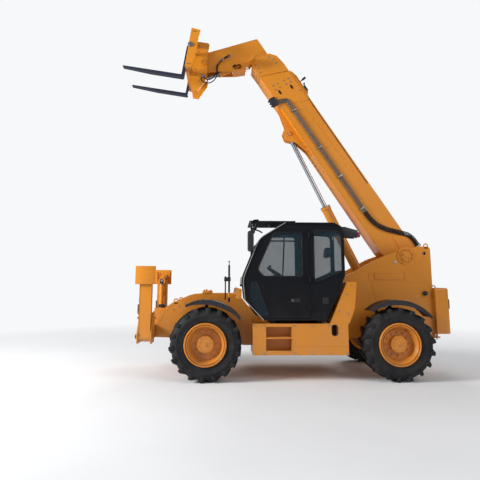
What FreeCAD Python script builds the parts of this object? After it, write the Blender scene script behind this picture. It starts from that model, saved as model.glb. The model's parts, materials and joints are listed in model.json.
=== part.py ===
"""Telescopic handler with a three-section boom, pallet forks and two fold-up front legs.

Lengths are in millimetres. The machine faces -X, its left side (the cab) is at -Y and +Z is up.
Everything is drawn with the front axle at X = 0 and the ground at Z = 0. At the end the whole model is
moved along X so that the origin lies under the middle of its box.
"""
import FreeCAD, Part
import math
import os

V = FreeCAD.Vector

# Wheels and axles
WHEELBASE = 3164.0
TYRE_R = 590.0
TYRE_WIDTH = 410.0
TYRE_SIDES = 36
LUGS = 18
LUG_HEIGHT = 30.0
LUG_ROOT_R = 520.0
TRACK_HALF = 975.0
RIM_R = 305.0
RIM_FLANGE_R = 347.0
RIM_FLANGE_T = 22.0
RIM_WALL = 12.0
DISH_R = 258.0
DISH_DEPTH = 125.0
HUB_COVER_R = 137.0
HUB_COVER_PROUD = 95.0
DISC_T = 40.0
SPIGOT_R = 60.0
SPIGOT_DEPTH = 25.0
RUN_GAP = 0.2
KINGPIN_Y = 830.0
KINGPIN_R = 32.0
KNUCKLE_HALF_H = 120.0
YOKE_T = 36.0
YOKE_GAP = 5.0
KINGPIN_REACH = KNUCKLE_HALF_H + YOKE_T + 2 * YOKE_GAP
AXLE_TUBE_R = 82.0
DIFF_R = 190.0
FENDER_R = 702.0
FENDER_T = 8.0
FENDER_WIDTH = 385.0
FENDER_LIP = 32.0

# Chassis
PLATE_OUT = 460.0
PLATE_T = 30.0
CHASSIS_FRONT = -910.0
CHASSIS_REAR = WHEELBASE + 896.0
BELLY_Z = 560.0
BELLY_T = 25.0
DECK_Z = 1390.0
SILL_Z = 950.0
AXLE_NOTCH_HALF = 235.0
AXLE_NOTCH_TOP = 800.0
TAIL_REAR = CHASSIS_REAR + 270.0
TAIL_HALF = 560.0
TAIL_LOW = 700.0
TAIL_HIGH = 1500.0

# Boom, in a frame that lies along the boom: along from its pivot, up square to it
PIVOT_X = WHEELBASE + 436.0
PIVOT_Z = 2070.0
REST_ANGLE = 56.95
BOOM_LOW = -266.0
BOOM_HIGH = 325.0
BOOM_HALF = 210.0
BOOM_WALL = 12.0
BASE_END_LOW = 4420.0
BASE_END_HIGH = 4200.0
MID_LOW = -222.0
MID_HIGH = 268.0
MID_HALF = 172.0
MID_START = 560.0
MID_WALL = 10.0
INNER_LOW = -182.0
INNER_HIGH = 160.0
INNER_HALF = 135.0
INNER_START = 760.0
INNER_WALL = 10.0
PIVOT_PIN_R = 55.0
PIVOT_BOSS_R = 105.0

# Gooseneck and tilting carriage
TILT_ALONG = 5275.0
TILT_UP = -1030.0
NOSE_R = 203.0
NECK_WALL = 14.0
TILT_PIN_R = 40.0
REST_TILT = 8.5
HITCH_IN = 165.0
HITCH_OUT = 198.0
HITCH_PLATE = 212.0
HITCH_PLATE_T = 20.0
CARRIAGE_HALF = 590.0
CARRIAGE_FACE = 300.0
CARRIAGE_PLATE_T = 30.0
CARRIAGE_TOP = 467.0
CARRIAGE_BOTTOM = -328.0
SHAFT_AHEAD = 266.0
SHAFT_UP = 118.0
SHAFT_R = 32.0
FORK_SPACING = 870.0
FORK_WIDTH = 125.0
FORK_T = 50.0
FORK_LENGTH = 1186.0
FORK_TOP_UP = -460.0

# Lift cylinder
LIFT_EYE_ALONG = 3152.0
LIFT_EYE_UP = -391.0
LIFT_BASE_X = WHEELBASE - 100.0
LIFT_BASE_Z = 1342.0
LIFT_BARREL_R = 90.0
LIFT_BARREL_LENGTH = 1900.0
LIFT_ROD_R = 42.0
LIFT_EYE_R = 46.0
LIFT_EYE_HALF = 44.0
LIFT_LUG_IN = 104.0
LIFT_PIN_R = 26.0

# Tilt cylinder inside the gooseneck
TILT_BASE_ALONG = 4880.0
TILT_BASE_UP = -330.0
TILT_LEVER_UP = -267.0
TILT_LEVER_AHEAD = -43.0
TILT_BARREL_R = 62.0
TILT_BARREL_LENGTH = 560.0
TILT_ROD_R = 30.0
TILT_BOSS_IN = 76.0

# Fold-up front legs
LEG_X = -1005.0
LEG_HALF_X = 95.0
LEG_HINGE_Y = 985.0
LEG_HINGE_Z = 705.0
LEG_LENGTH = 1000.0
LEG_DEPTH = 130.0
LEG_PIN_R = 28.0
PAD_X = 330.0
PAD_LENGTH = 300.0
PAD_T = 22.0
LEG_RAM_BASE_IN = 160.0
LEG_RAM_BASE_UP = 290.0
LEG_RAM_EYE_UP = 930.0
LEG_RAM_EYE_IN = 138.0
LEG_RAM_R = 42.0
LEG_RAM_ROD_R = 24.0
LEG_RAM_BARREL = 420.0
LEG_RAM_PIN_R = 16.0

# The beam between the legs is set back where the lowered coupler swings past
NOSE_FACE_X = CHASSIS_FRONT - 35.0
NOSE_GAP_HALF = 260.0

# Cab, its front and rear given by the bay between the wheels
CAB_FRONT = TYRE_R + 15.0
CAB_REAR = WHEELBASE - TYRE_R - 262.0
CAB_OUT = 1120.0
CAB_IN = 290.0
CAB_FLOOR_Z = 975.0
CAB_WALL = 38.0
GLASS_T = 6.0
DOOR_REAR_SHARE = 0.6544
DOOR_GAP = 6.0
HINGE_R = 15.0
HINGE_PIN_R = 8.0
HINGE_Y = -CAB_OUT - HINGE_R - 1.0
HINGE_LEAF = 60.0
HINGE_HALF = 45.0
HINGE_HEIGHTS = (1180.0, 1640.0, 2380.0)

# Step and tank box under the cab
BOX_FRONT = TYRE_R + 180.0
BOX_REAR = WHEELBASE - TYRE_R - 234.0
BOX_LOW = 420.0
BOX_HIGH = 920.0
BOX_OUT = 1100.0
STEP_X0 = BOX_FRONT + 220.0
STEP_X1 = STEP_X0 + 420.0
STEP_DEPTH = 210.0

# Engine pod on the right
HOOD_FRONT = BOX_FRONT + 30.0
HOOD_REAR = BOX_REAR + 90.0
HOOD_LOW = 560.0
HOOD_HIGH = 1480.0
HOOD_OUT = 1110.0
HOOD_WALL = 10.0

PIN_GAP = 0.05

# Steel pipes and hoses along the near side of the boom, as (along, up) points of the bundle's middle
PIPE_R = 9.0
HOSE_R = 10.0
PIPE_SPACING = 24.0
PIPE_COUNT = 4
PIPE_Y = -BOOM_HALF - 24.0
HOSE_Y = -BOOM_HALF - 30.0
PIPE_END = 1132.0
PIPE_ROUTE = [(3812, -330), (3719, -86), (PIPE_END, -76)]
BOOM_HOSE_ROUTE = [(PIPE_END - 0.5, -76), (PIPE_END - 40, -76), (954, -85), (659, -14), (355, 283),
                   (206, 409), (-9, 393)]
CLAMPS = (3474, 2580, 1897, PIPE_END + 22)

# Hoses from the neck to the coupler, as world (x, y, z) points with the front axle at x = 0
NECK_HOSE_ROUTES = [
    [(375, -INNER_HALF - 9, 6105), (320, -172, 6085), (232, -178, 6012), (150, -198, 5905),
     (128, -216, 5822)],
    [(340, -INNER_HALF - 9, 6066), (295, -172, 6050), (212, -178, 5986), (122, -198, 5885),
     (104, -216, 5822)],
]
COUPLER_HOSE_ROUTES = [
    [(128, -254, 5796), (130, -254, 5650), (40, -254, 5500), (-95, -254, 5470), (-190, -250, 5535),
     (-165, -222, 5600)],
    [(104, -254, 5796), (100, -254, 5680), (35, -254, 5560), (-60, -254, 5535), (-120, -240, 5585),
     (-140, -215, 5612)],
]
COUPLING = (116, -220, 5788)
COUPLING_SIZE = 26.0


def outline(points):
    """Closed wire through (x, z, radius) points in the XZ plane; a corner with a radius becomes an arc."""
    corners = [V(x, 0, z) for x, z, radius in points]
    radii = [radius for x, z, radius in points]
    count = len(points)
    starts, ends, arcs = [], [], []
    for i in range(count):
        here = corners[i]
        if radii[i] <= 0:
            starts.append(here)
            ends.append(here)
            arcs.append(None)
            continue
        back = (corners[i - 1] - here).normalize()
        ahead = (corners[(i + 1) % count] - here).normalize()
        half = back.getAngle(ahead) / 2
        reach = radii[i] / math.tan(half)
        middle = (back + ahead).normalize()
        centre = here + middle * (radii[i] / math.sin(half))
        first = here + back * reach
        last = here + ahead * reach
        starts.append(first)
        ends.append(last)
        arcs.append(Part.Arc(first, centre - middle * radii[i], last).toShape())
    edges = []
    for i in range(count):
        if arcs[i] is not None:
            edges.append(arcs[i])
        nxt = starts[(i + 1) % count]
        if (nxt - ends[i]).Length > 1e-6:
            edges.append(Part.LineSegment(ends[i], nxt).toShape())
    return Part.Wire(edges)


def plate(points, y0, y1):
    """Prism of an XZ outline from y0 to y1. Points are (x, z) or (x, z, radius)."""
    full = [tuple(p) + (0.0,) * (3 - len(p)) for p in points]
    face = Part.Face(outline(full))
    prism = face.extrude(V(0, y1 - y0, 0))
    prism.translate(V(0, y0, 0))
    return prism


def box(x0, x1, y0, y1, z0, z1):
    return Part.makeBox(x1 - x0, y1 - y0, z1 - z0, V(x0, y0, z0))


def rod_x(y, z, radius, x0, x1):
    return Part.makeCylinder(radius, x1 - x0, V(x0, y, z), V(1, 0, 0))


def rod_y(x, z, radius, y0, y1):
    return Part.makeCylinder(radius, y1 - y0, V(x, y0, z), V(0, 1, 0))


def rod_z(x, y, radius, z0, z1):
    return Part.makeCylinder(radius, z1 - z0, V(x, y, z0), V(0, 0, 1))


def rod_between(start, end, radius):
    way = end - start
    return Part.makeCylinder(radius, way.Length, start, way)


def fuse(pieces):
    """One solid from overlapping pieces, with the seams between flush faces removed."""
    pieces = [p for p in pieces]
    if len(pieces) == 1:
        return pieces[0]
    return pieces[0].multiFuse(pieces[1:]).removeSplitter()


def group(pieces):
    """Several solids that do not touch, kept in one node."""
    return Part.makeCompound([s for p in pieces for s in p.Solids])


def mirrored(shape):
    """The same shape on the other side of the machine."""
    return shape.mirror(V(0, 0, 0), V(0, 1, 0))


def turned(shape, centre, axis, degrees):
    copy = shape.copy()
    copy.rotate(centre, axis, degrees)
    return copy


def turned_point(point, centre, axis, degrees):
    return centre + FreeCAD.Rotation(axis, degrees).multVec(point - centre)


def tube(points, radius, sides=8):
    """Eight-sided tube along straight runs joined by tangent arcs, each as large as its runs allow."""
    edges = []
    at = points[0]
    for before, corner, after in zip(points, points[1:], points[2:]):
        back, ahead = before - corner, after - corner
        reach = 0.45 * min(back.Length, ahead.Length)
        back.normalize()
        ahead.normalize()
        half = back.getAngle(ahead) / 2
        bend = reach * math.tan(half)
        middle = (back + ahead).normalize()
        centre = corner + middle * (bend / math.sin(half))
        first, last = corner + back * reach, corner + ahead * reach
        edges.append(Part.LineSegment(at, first).toShape())
        edges.append(Part.Arc(first, centre - middle * bend, last).toShape())
        at = last
    edges.append(Part.LineSegment(at, points[-1]).toShape())
    turn = FreeCAD.Rotation(V(0, 0, 1), points[1] - points[0])
    angles = [2 * math.pi * k / sides for k in range(sides)]
    ring = [points[0] + turn.multVec(V(radius * math.cos(a), radius * math.sin(a), 0)) for a in angles]
    return Part.Wire(edges).makePipeShell([Part.makePolygon(ring + ring[:1])], True, False)


def beside(route, shift):
    """A flat route of (along, up) points moved sideways by shift."""
    moved = []
    for i, (along, up) in enumerate(route):
        before, after = route[max(i - 1, 0)], route[min(i + 1, len(route) - 1)]
        way = V(after[0] - before[0], after[1] - before[1], 0).normalize()
        moved.append((along - way.y * shift, up + way.x * shift))
    return moved


def bundle(route, y, radius):
    """Parallel tubes beside each other along the boom, drawn on the level boom."""
    tubes = []
    for i in range(PIPE_COUNT):
        shift = (i - (PIPE_COUNT - 1) / 2) * PIPE_SPACING
        tubes.append(tube([level_point(along, up, y) for along, up in beside(route, shift)], radius))
    return tubes


PIVOT = V(PIVOT_X, 0, PIVOT_Z)
Y_AXIS = V(0, 1, 0)
X_AXIS = V(1, 0, 0)


def level_point(along, up, y=0.0):
    """Where a point of the boom lies while the boom is level."""
    return V(PIVOT_X - along, y, PIVOT_Z + up)


def boom_point(along, up, y=0.0):
    """Where a point of the boom lies at rest."""
    return turned_point(level_point(along, up, y), PIVOT, Y_AXIS, REST_ANGLE)


def raised(shape):
    """A shape drawn on the level boom, moved to the boom's resting angle."""
    return turned(shape, PIVOT, Y_AXIS, REST_ANGLE)


def boom_plate(points, y0, y1):
    """Prism of an (along, up) or (along, up, radius) outline on the level boom."""
    return plate([(PIVOT_X - p[0], PIVOT_Z + p[1]) + tuple(p[2:]) for p in points], y0, y1)


def boom_rod(along, up, radius, y0, y1):
    return rod_y(PIVOT_X - along, PIVOT_Z + up, radius, y0, y1)


TILT_PIVOT = boom_point(TILT_ALONG, TILT_UP)


# Wheels


def make_carcass():
    """Tyre body of flat sides about the Y axis, seated on the rim along the middle of each side."""
    half = TYRE_WIDTH / 2
    seat = RIM_R / math.cos(math.pi / TYRE_SIDES)
    section = [(seat, half - 45), (450, half - 4), (TYRE_R - LUG_HEIGHT, half - 44)]
    section += [(radius, -offset) for radius, offset in reversed(section)]
    rings = []
    for k in range(TYRE_SIDES):
        angle = 2 * math.pi * (k + 0.5) / TYRE_SIDES
        rings.append([V(r * math.sin(angle), offset, r * math.cos(angle)) for r, offset in section])
    faces = []
    for k in range(TYRE_SIDES):
        here, there = rings[k - 1], rings[k]
        for i in range(len(section)):
            corners = [here[i - 1], here[i], there[i], there[i - 1]]
            faces.append(Part.Face(Part.makePolygon(corners + corners[:1])))
    return Part.Solid(Part.Shell(faces))


def make_lugged_tyre():
    """Tractor tread of slanting bars, the two sides half a pitch apart, one bar's corner at the bottom."""
    half = TYRE_WIDTH / 2
    # The bar seen from outside: (across the tyre, round the tyre)
    bar = [(-8, -69), (half - 4, 9), (half - 4, 69), (-8, -1)]
    widest = max(abs(round_) for across, round_ in bar)
    crown = math.sqrt(TYRE_R ** 2 - widest ** 2)
    lugs = []
    for k in range(LUGS):
        for side, phase in ((1, 0.0), (-1, 0.5)):
            points = [V(round_, side * across, LUG_ROOT_R) for across, round_ in bar]
            lug = Part.Face(Part.makePolygon(points + points[:1])).extrude(V(0, 0, crown - LUG_ROOT_R))
            lugs.append(turned(lug, V(0, 0, 0), Y_AXIS, 360.0 * (k + phase) / LUGS))
    tyre = make_carcass().multiFuse(lugs)
    return turned(tyre, V(0, 0, 0), Y_AXIS, math.degrees(math.atan2(widest, crown)))


def revolved(profile, x, y, z):
    """Solid turned about the Y line through (x, z) from (radius, offset) points, its middle plane at y."""
    points = [V(x + radius, y + offset, z) for radius, offset in profile]
    face = Part.Face(Part.makePolygon(points + [points[0]]))
    return face.revolve(V(x, y, z), Y_AXIS, 360)


def make_tyre(x, side, pattern):
    tyre = pattern if side > 0 else mirrored(pattern)
    placed = tyre.copy()
    placed.translate(V(x, side * TRACK_HALF, TYRE_R))
    return placed


def make_rim(x, side):
    """Welded rim: barrel with two flanges, deep dish and the round cover of the hub drive."""
    half = TYRE_WIDTH / 2
    inner = RIM_R - RIM_WALL
    lip = half - 28
    face = lip - DISH_DEPTH
    back = face - DISC_T
    profile = [
        (0, back + SPIGOT_DEPTH), (SPIGOT_R, back + SPIGOT_DEPTH), (SPIGOT_R, back), (150, back),
        (165, face - 22),
        (inner, face - 22), (inner, -lip - RIM_FLANGE_T), (RIM_FLANGE_R, -lip - RIM_FLANGE_T),
        (RIM_FLANGE_R, -lip),
        (RIM_R, -lip), (RIM_R, lip), (RIM_FLANGE_R, lip), (RIM_FLANGE_R, lip + RIM_FLANGE_T),
        (RIM_FLANGE_R - 14, lip + RIM_FLANGE_T), (DISH_R + 12, face + 45), (DISH_R, face),
        (HUB_COVER_R + 6, face),
        (HUB_COVER_R, face + HUB_COVER_PROUD - 14), (HUB_COVER_R - 16, face + HUB_COVER_PROUD),
        (0, face + HUB_COVER_PROUD),
    ]
    return revolved([(r, side * o) for r, o in profile], x, side * TRACK_HALF, TYRE_R)


def hub_plane(side):
    """Y of the inner face of the wheel's disc, where the knuckle's flange stops."""
    return side * (TRACK_HALF + TYRE_WIDTH / 2 - 28 - DISH_DEPTH - DISC_T)


def make_axle(x):
    """Beam with its differential, two tubes and the yokes that hold the steering knuckles."""
    z = TYRE_R
    parts = [rod_y(x, z, AXLE_TUBE_R, -KINGPIN_Y + 150, KINGPIN_Y - 150)]
    parts.append(rod_y(x, z, DIFF_R, -120, 120))
    for side in (-1, 1):
        y0 = side * (KINGPIN_Y - 165)
        arm_end = side * (KINGPIN_Y + 45)
        low, high = min(y0, arm_end), max(y0, arm_end)
        reach = KNUCKLE_HALF_H + YOKE_GAP
        for level in (-1, 1):
            z0 = z + level * reach
            z1 = z + level * (reach + YOKE_T)
            parts.append(box(x - 60, x + 60, low, high, min(z0, z1), max(z0, z1)))
        web0 = side * (KINGPIN_Y - 165)
        web1 = side * (KINGPIN_Y - 120)
        parts.append(box(x - 60, x + 60, min(web0, web1), max(web0, web1), z - reach - 5, z + reach + 5))
    beam = fuse(parts)
    for side in (-1, 1):
        for level in (-1, 1):
            reach = KNUCKLE_HALF_H + YOKE_GAP
            z0 = z + level * reach
            z1 = z + level * (reach + YOKE_T)
            hole = rod_z(x, side * KINGPIN_Y, KINGPIN_R + PIN_GAP, min(z0, z1) - 2, max(z0, z1) + 2)
            beam = beam.cut(hole)
    return beam


def make_knuckle(x, side):
    """Steering knuckle: kingpins above and below, drum and the flange that carries the wheel."""
    z = TYRE_R
    y = side * KINGPIN_Y
    drum = rod_z(x, y, 72, z - KNUCKLE_HALF_H, z + KNUCKLE_HALF_H)
    pins = rod_z(x, y, KINGPIN_R, z - KINGPIN_REACH, z + KINGPIN_REACH)
    end = hub_plane(side) - side * RUN_GAP
    tip = hub_plane(side) + side * (SPIGOT_DEPTH - RUN_GAP)
    spindle = rod_y(x, z, 95, min(y, end), max(y, end))
    flange0 = end - side * 30
    flange = rod_y(x, z, 140, min(flange0, end), max(flange0, end))
    spigot = rod_y(x, z, SPIGOT_R - PIN_GAP, min(y, tip), max(y, tip))
    return fuse([drum, pins, spindle, flange, spigot])


def make_fender(x, side, front_angle, rear_angle):
    """Curved mudguard from one angle above level to the other, with a lip, on a bracket from the knuckle."""
    z = TYRE_R
    y_in = side * (TRACK_HALF - 175)
    y_out = y_in + side * FENDER_WIDTH
    outer = FENDER_R + FENDER_T
    low, high = sorted((y_in, y_out))
    sheet = rod_y(x, z, outer, low, high).cut(rod_y(x, z, FENDER_R, low - 1, high + 1))
    edge0, edge1 = sorted((y_out, y_out - side * FENDER_T))
    lip = rod_y(x, z, outer, edge0, edge1).cut(rod_y(x, z, FENDER_R - FENDER_LIP, edge0 - 1, edge1 + 1))
    far = 2 * FENDER_R
    front_rise, rear_rise = (far * math.tan(math.radians(a)) for a in (front_angle, rear_angle))
    above = z + max(front_rise, rear_rise) + far
    wedge = plate([(x, z), (x - far, z + front_rise), (x - far, above), (x + far, above),
                   (x + far, z + rear_rise)],
                  low - 5, high + 5)
    shell = sheet.fuse(lip).common(wedge)
    foot_z = z + KINGPIN_REACH
    post_y = side * (TRACK_HALF - 232)
    post0, post1 = sorted((post_y, post_y + side * 14))
    foot0, foot1 = sorted((post_y, side * (KINGPIN_Y + 30)))
    top0, top1 = sorted((post_y, y_in + side * 60))
    post = box(x - 30, x + 30, post0, post1, foot_z, z + outer)
    foot = box(x - 30, x + 30, foot0, foot1, foot_z, foot_z + 12)
    top = box(x - 30, x + 30, top0, top1, z + FENDER_R - 2, z + outer - 2)
    return fuse([shell, post, foot, top])


# Chassis


def make_chassis():
    """Two tall side plates tied by belly plates, a front deck and cross walls, with the pivot bosses."""
    inner = PLATE_OUT - PLATE_T
    rear_x = WHEELBASE
    side = [
        (CHASSIS_FRONT, 640), (CHASSIS_FRONT, 820), (-800, 1110), (-630, 1230, 60), (-310, 1370, 80),
        (-50, DECK_Z),
        (CAB_FRONT - 60, DECK_Z, 60), (CAB_FRONT + 310, SILL_Z, 60), (CAB_REAR - 277, SILL_Z, 60),
        (CAB_REAR + 38, 1680, 40), (CAB_REAR + 168, 1710, 60), (PIVOT_X - 460, 2050, 150),
        (PIVOT_X - 40, 2195, 120),
        (PIVOT_X + 260, 2250, 60), (CHASSIS_REAR, 2250, 60), (CHASSIS_REAR, 720),
        (rear_x + 420, 640), (rear_x + AXLE_NOTCH_HALF, 640, 30),
        (rear_x + AXLE_NOTCH_HALF - 40, AXLE_NOTCH_TOP, 40),
        (rear_x - AXLE_NOTCH_HALF + 40, AXLE_NOTCH_TOP, 40), (rear_x - AXLE_NOTCH_HALF, 640, 30),
        (BOX_REAR + 110, 600), (BOX_FRONT - 70, 500), (AXLE_NOTCH_HALF + 60, 530, 30),
        (AXLE_NOTCH_HALF - 40, AXLE_NOTCH_TOP, 40),
        (-AXLE_NOTCH_HALF + 40, AXLE_NOTCH_TOP, 40), (-AXLE_NOTCH_HALF - 60, 620, 30),
    ]
    left = plate(side, -PLATE_OUT, -inner)
    parts = [left, mirrored(left)]
    over = inner + 1
    belly = [(-880, -330, 660), (330, LIFT_BASE_X - 204, 610),
             (WHEELBASE + 306, CHASSIS_REAR - 30, 735)]
    for x0, x1, z0 in belly:
        parts.append(box(x0, x1, -over, over, z0, z0 + BELLY_T))
    parts.append(box(-640, 540, -over, over, 1120, 1145))
    parts.append(box(-905, -880, -over, over, 660, 860))
    parts.append(box(CHASSIS_REAR - 30, CHASSIS_REAR - 2, -over, over, 735, 1850))
    parts.append(box(LIFT_BASE_X - 104, LIFT_BASE_X + 106, -over, over, 1080, 1225))
    # Lugs for the lift cylinder's base pin
    for sign in (-1, 1):
        lug = plate([(LIFT_BASE_X - 104, 1150), (LIFT_BASE_X + 106, 1150),
                     (LIFT_BASE_X + 95, LIFT_BASE_Z, 30),
                     (LIFT_BASE_X + 60, LIFT_BASE_Z + 95, 50), (LIFT_BASE_X - 60, LIFT_BASE_Z + 95, 50),
                     (LIFT_BASE_X - 95, LIFT_BASE_Z, 30)], LIFT_LUG_IN, LIFT_LUG_IN + 30)
        parts.append(lug if sign > 0 else mirrored(lug))
    for side_sign in (-1, 1):
        y0 = BOOM_HALF + 36
        boss = rod_y(PIVOT_X, PIVOT_Z, PIVOT_BOSS_R, y0, PLATE_OUT + 12)
        parts.append(boss if side_sign > 0 else mirrored(boss))
        for x in (0, WHEELBASE):
            saddle = box(x - 110, x + 110, 300, inner + 1, TYRE_R, AXLE_NOTCH_TOP + 60)
            parts.append(saddle if side_sign > 0 else mirrored(saddle))
    parts.append(make_engine_tray())
    cover = [(WHEELBASE - 254, 1640, 14), (WHEELBASE + 316, 1640, 14), (WHEELBASE + 316, 1760, 14),
             (WHEELBASE - 254, 1760, 14)]
    opening = [(WHEELBASE - 234, 1660, 6), (WHEELBASE + 296, 1660, 6), (WHEELBASE + 296, 1740, 6),
               (WHEELBASE - 234, 1740, 6)]
    parts.append(plate(cover, -PLATE_OUT - 7, -PLATE_OUT + 5).cut(plate(opening, -PLATE_OUT - 8, -PLATE_OUT)))
    frame = fuse(parts)
    for x in (0, WHEELBASE):
        frame = frame.cut(rod_y(x, TYRE_R, AXLE_TUBE_R + 0.3, -inner - 5, inner + 5))
        frame = frame.cut(box(x - 120, x + 120, -inner, inner, TYRE_R - 200, TYRE_R))
    frame = frame.cut(rod_y(PIVOT_X, PIVOT_Z, PIVOT_PIN_R + PIN_GAP, -600, 600))
    return frame.cut(rod_y(LIFT_BASE_X, LIFT_BASE_Z, LIFT_PIN_R + PIN_GAP, -150, 150))


def make_boom_pin():
    end = PLATE_OUT + 30
    pin = rod_y(PIVOT_X, PIVOT_Z, PIVOT_PIN_R, -end, end)
    heads = [rod_y(PIVOT_X, PIVOT_Z, PIVOT_PIN_R + 22, -end, -PLATE_OUT - 12.2),
             rod_y(PIVOT_X, PIVOT_Z, PIVOT_PIN_R + 22, PLATE_OUT + 12.2, end)]
    return fuse([pin] + heads)


def make_tail():
    """Cast counterweight that closes the rear, with its upper edges rounded."""
    block = box(CHASSIS_REAR, TAIL_REAR, -TAIL_HALF, TAIL_HALF, TAIL_LOW, TAIL_HIGH)
    edges = [e for e in block.Edges if e.BoundBox.XMin > TAIL_REAR - 1 and e.BoundBox.ZLength > 1]
    block = block.makeFillet(110, edges)
    top = [e for e in block.Edges if e.BoundBox.ZMin > TAIL_HIGH - 1 and e.BoundBox.XMax > CHASSIS_REAR + 1]
    return block.makeFillet(40, top)


def make_nose_beam():
    """Cross beam at the front with the clevis plates of the two fold-up legs."""
    y1 = LEG_HINGE_Y + 75
    beam = box(LEG_X - 60, CHASSIS_FRONT, -745, 745, 640, 860)
    setback = box(LEG_X - 61, NOSE_FACE_X, -NOSE_GAP_HALF, NOSE_GAP_HALF, 639, 861)
    parts = [beam.cut(setback)]
    for sign in (-1, 1):
        for x0 in (LEG_X - LEG_HALF_X - 25, LEG_X + LEG_HALF_X + 5):
            ear = Part.Face(Part.makePolygon([V(x0, y, z) for y, z in (
                (745, 600), (LEG_HINGE_Y + 20, 590), (y1, 620), (y1, 760), (LEG_HINGE_Y - 60, 960),
                (840, 1080), (745, 1080),
                (745, 600))])).extrude(V(20, 0, 0))
            parts.append(ear if sign > 0 else mirrored(ear))
        tie = box(LEG_X - LEG_HALF_X - 25, LEG_X + LEG_HALF_X + 25, 740, 760, 600, 1080)
        parts.append(tie if sign > 0 else mirrored(tie))
    body = fuse(parts)
    for sign in (-1, 1):
        body = body.cut(rod_x(sign * LEG_HINGE_Y, LEG_HINGE_Z, LEG_PIN_R + PIN_GAP, LEG_X - 200, LEG_X + 200))
        body = body.cut(rod_x(sign * (LEG_HINGE_Y - LEG_RAM_BASE_IN), LEG_HINGE_Z + LEG_RAM_BASE_UP,
                              LEG_RAM_PIN_R + PIN_GAP,
                              LEG_X - 200, LEG_X + 200))
    return body


def make_step_box():
    """Tank box under the cab with a step let into its face, and the slanting box flush behind the cab."""
    body = box(BOX_FRONT, BOX_REAR, -BOX_OUT, -PLATE_OUT, BOX_LOW, BOX_HIGH)
    recess = box(STEP_X0, STEP_X1, -BOX_OUT - 1, -BOX_OUT + STEP_DEPTH, 470, 870)
    tread = box(STEP_X0, STEP_X1, -BOX_OUT, -BOX_OUT + STEP_DEPTH, 680, 700)
    grip = plate([(BOX_REAR - 270, 730, 44), (BOX_REAR - 180, 730, 44), (BOX_REAR - 180, 900, 44),
                  (BOX_REAR - 270, 900, 44)], -BOX_OUT - 1, -BOX_OUT + 60)
    column = plate([(BOX_REAR - 300, BOX_HIGH), (BOX_REAR + 2, 1600, 20), (BOX_REAR + 165, 1600, 30),
                  (BOX_REAR + 122, 1170, 60), (BOX_REAR + 22, BOX_HIGH)],
                   -BOX_OUT, -PLATE_OUT)
    return fuse([body.cut(recess), tread, column]).cut(grip)


def make_engine_tray():
    floor = box(HOOD_FRONT, HOOD_REAR, PLATE_OUT, HOOD_OUT, HOOD_LOW - 20, HOOD_LOW)
    ribs = [box(x, x + 20, PLATE_OUT, HOOD_OUT - 60, HOOD_LOW - 90,
                HOOD_LOW - 10) for x in (HOOD_FRONT + 100, (HOOD_FRONT + HOOD_REAR) / 2, HOOD_REAR - 130)]
    return fuse([floor] + ribs)


def hood_section(inset):
    """Closed YZ outline of the engine cover, drawn inset from its outer faces."""
    y1 = HOOD_OUT - inset
    z1 = HOOD_HIGH - inset
    return [V(0, PLATE_OUT, HOOD_LOW), V(0, y1, HOOD_LOW), V(0, y1, z1 - 220), V(0, y1 - 130, z1 - 20),
            V(0, y1 - 260, z1), V(0, PLATE_OUT, z1), V(0, PLATE_OUT, HOOD_LOW)]


def make_hood():
    """Engine cover open towards the chassis and the tray, with louvre slots in its side and rear."""
    outer = Part.Face(Part.makePolygon(hood_section(0))).extrude(V(HOOD_REAR - HOOD_FRONT, 0, 0))
    outer.translate(V(HOOD_FRONT, 0, 0))
    inner = Part.Face(Part.makePolygon(hood_section(HOOD_WALL))).extrude(V(HOOD_REAR - HOOD_FRONT - 2 * HOOD_WALL, 0, 0))
    inner.translate(V(HOOD_FRONT + HOOD_WALL, 0, 0))
    shell = outer.cut(inner)
    for i in range(9):
        x = HOOD_REAR - 640 + i * 62
        shell = shell.cut(box(x, x + 26, HOOD_OUT - 40, HOOD_OUT + 10, 760, 1160))
    return shell


def make_engine():
    block = box(HOOD_FRONT + 280, HOOD_REAR - 450, 540, 1000, HOOD_LOW, 1180)
    head = box(HOOD_FRONT + 380, HOOD_REAR - 530, 610, 930, 1180, 1330)
    return fuse([block, head])


def make_exhaust():
    pipe = rod_z(HOOD_REAR - 450, 800, 45, HOOD_HIGH, 1880)
    base = rod_z(HOOD_REAR - 450, 800, 70, HOOD_HIGH, HOOD_HIGH + 90)
    return fuse([pipe, base]).cut(rod_z(HOOD_REAR - 450, 800, 39, HOOD_HIGH + 100, 1900))


# Cab



def cab_x(share):
    """X at a share of the cab's length, from its front to its rear."""
    return CAB_FRONT + share * (CAB_REAR - CAB_FRONT)


DOOR_REAR_X = cab_x(DOOR_REAR_SHARE)
# Outlines as (share of the cab's length, z, corner radius)
CAB_OUTLINE = [
    (0.202, CAB_FLOOR_Z, 40), (0.021, 1300, 70), (0.0, 1640, 400), (0.161, 2320, 330), (0.425, 2595, 150),
    (0.958, 2595, 160), (1.0, 2300, 60), (1.0, 1705, 60), (0.811, CAB_FLOOR_Z, 40),
]
DOOR_WINDOW = [
    (0.583, 1690, 50), (0.208, 1690, 60), (0.1435, 1800, 80), (0.308, 2425, 110), (0.583, 2425, 60),
]
QUARTER_WINDOW = [
    (0.70, 1590, 60), (0.823, 1670, 60), (0.971, 1780, 60), (0.971, 2440, 90), (0.70, 2470, 50),
]


def cab_points(table):
    return [(cab_x(share), z, radius) for share, z, radius in table]


def cab_prism(inset, y0, y1):
    """The cab's side outline, moved in by inset, as a prism from y0 to y1."""
    wire = outline(cab_points(CAB_OUTLINE))
    if inset:
        wire = wire.makeOffset2D(-inset)
    prism = Part.Face(wire).extrude(V(0, y1 - y0, 0))
    prism.translate(V(0, y0, 0))
    return prism


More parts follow.
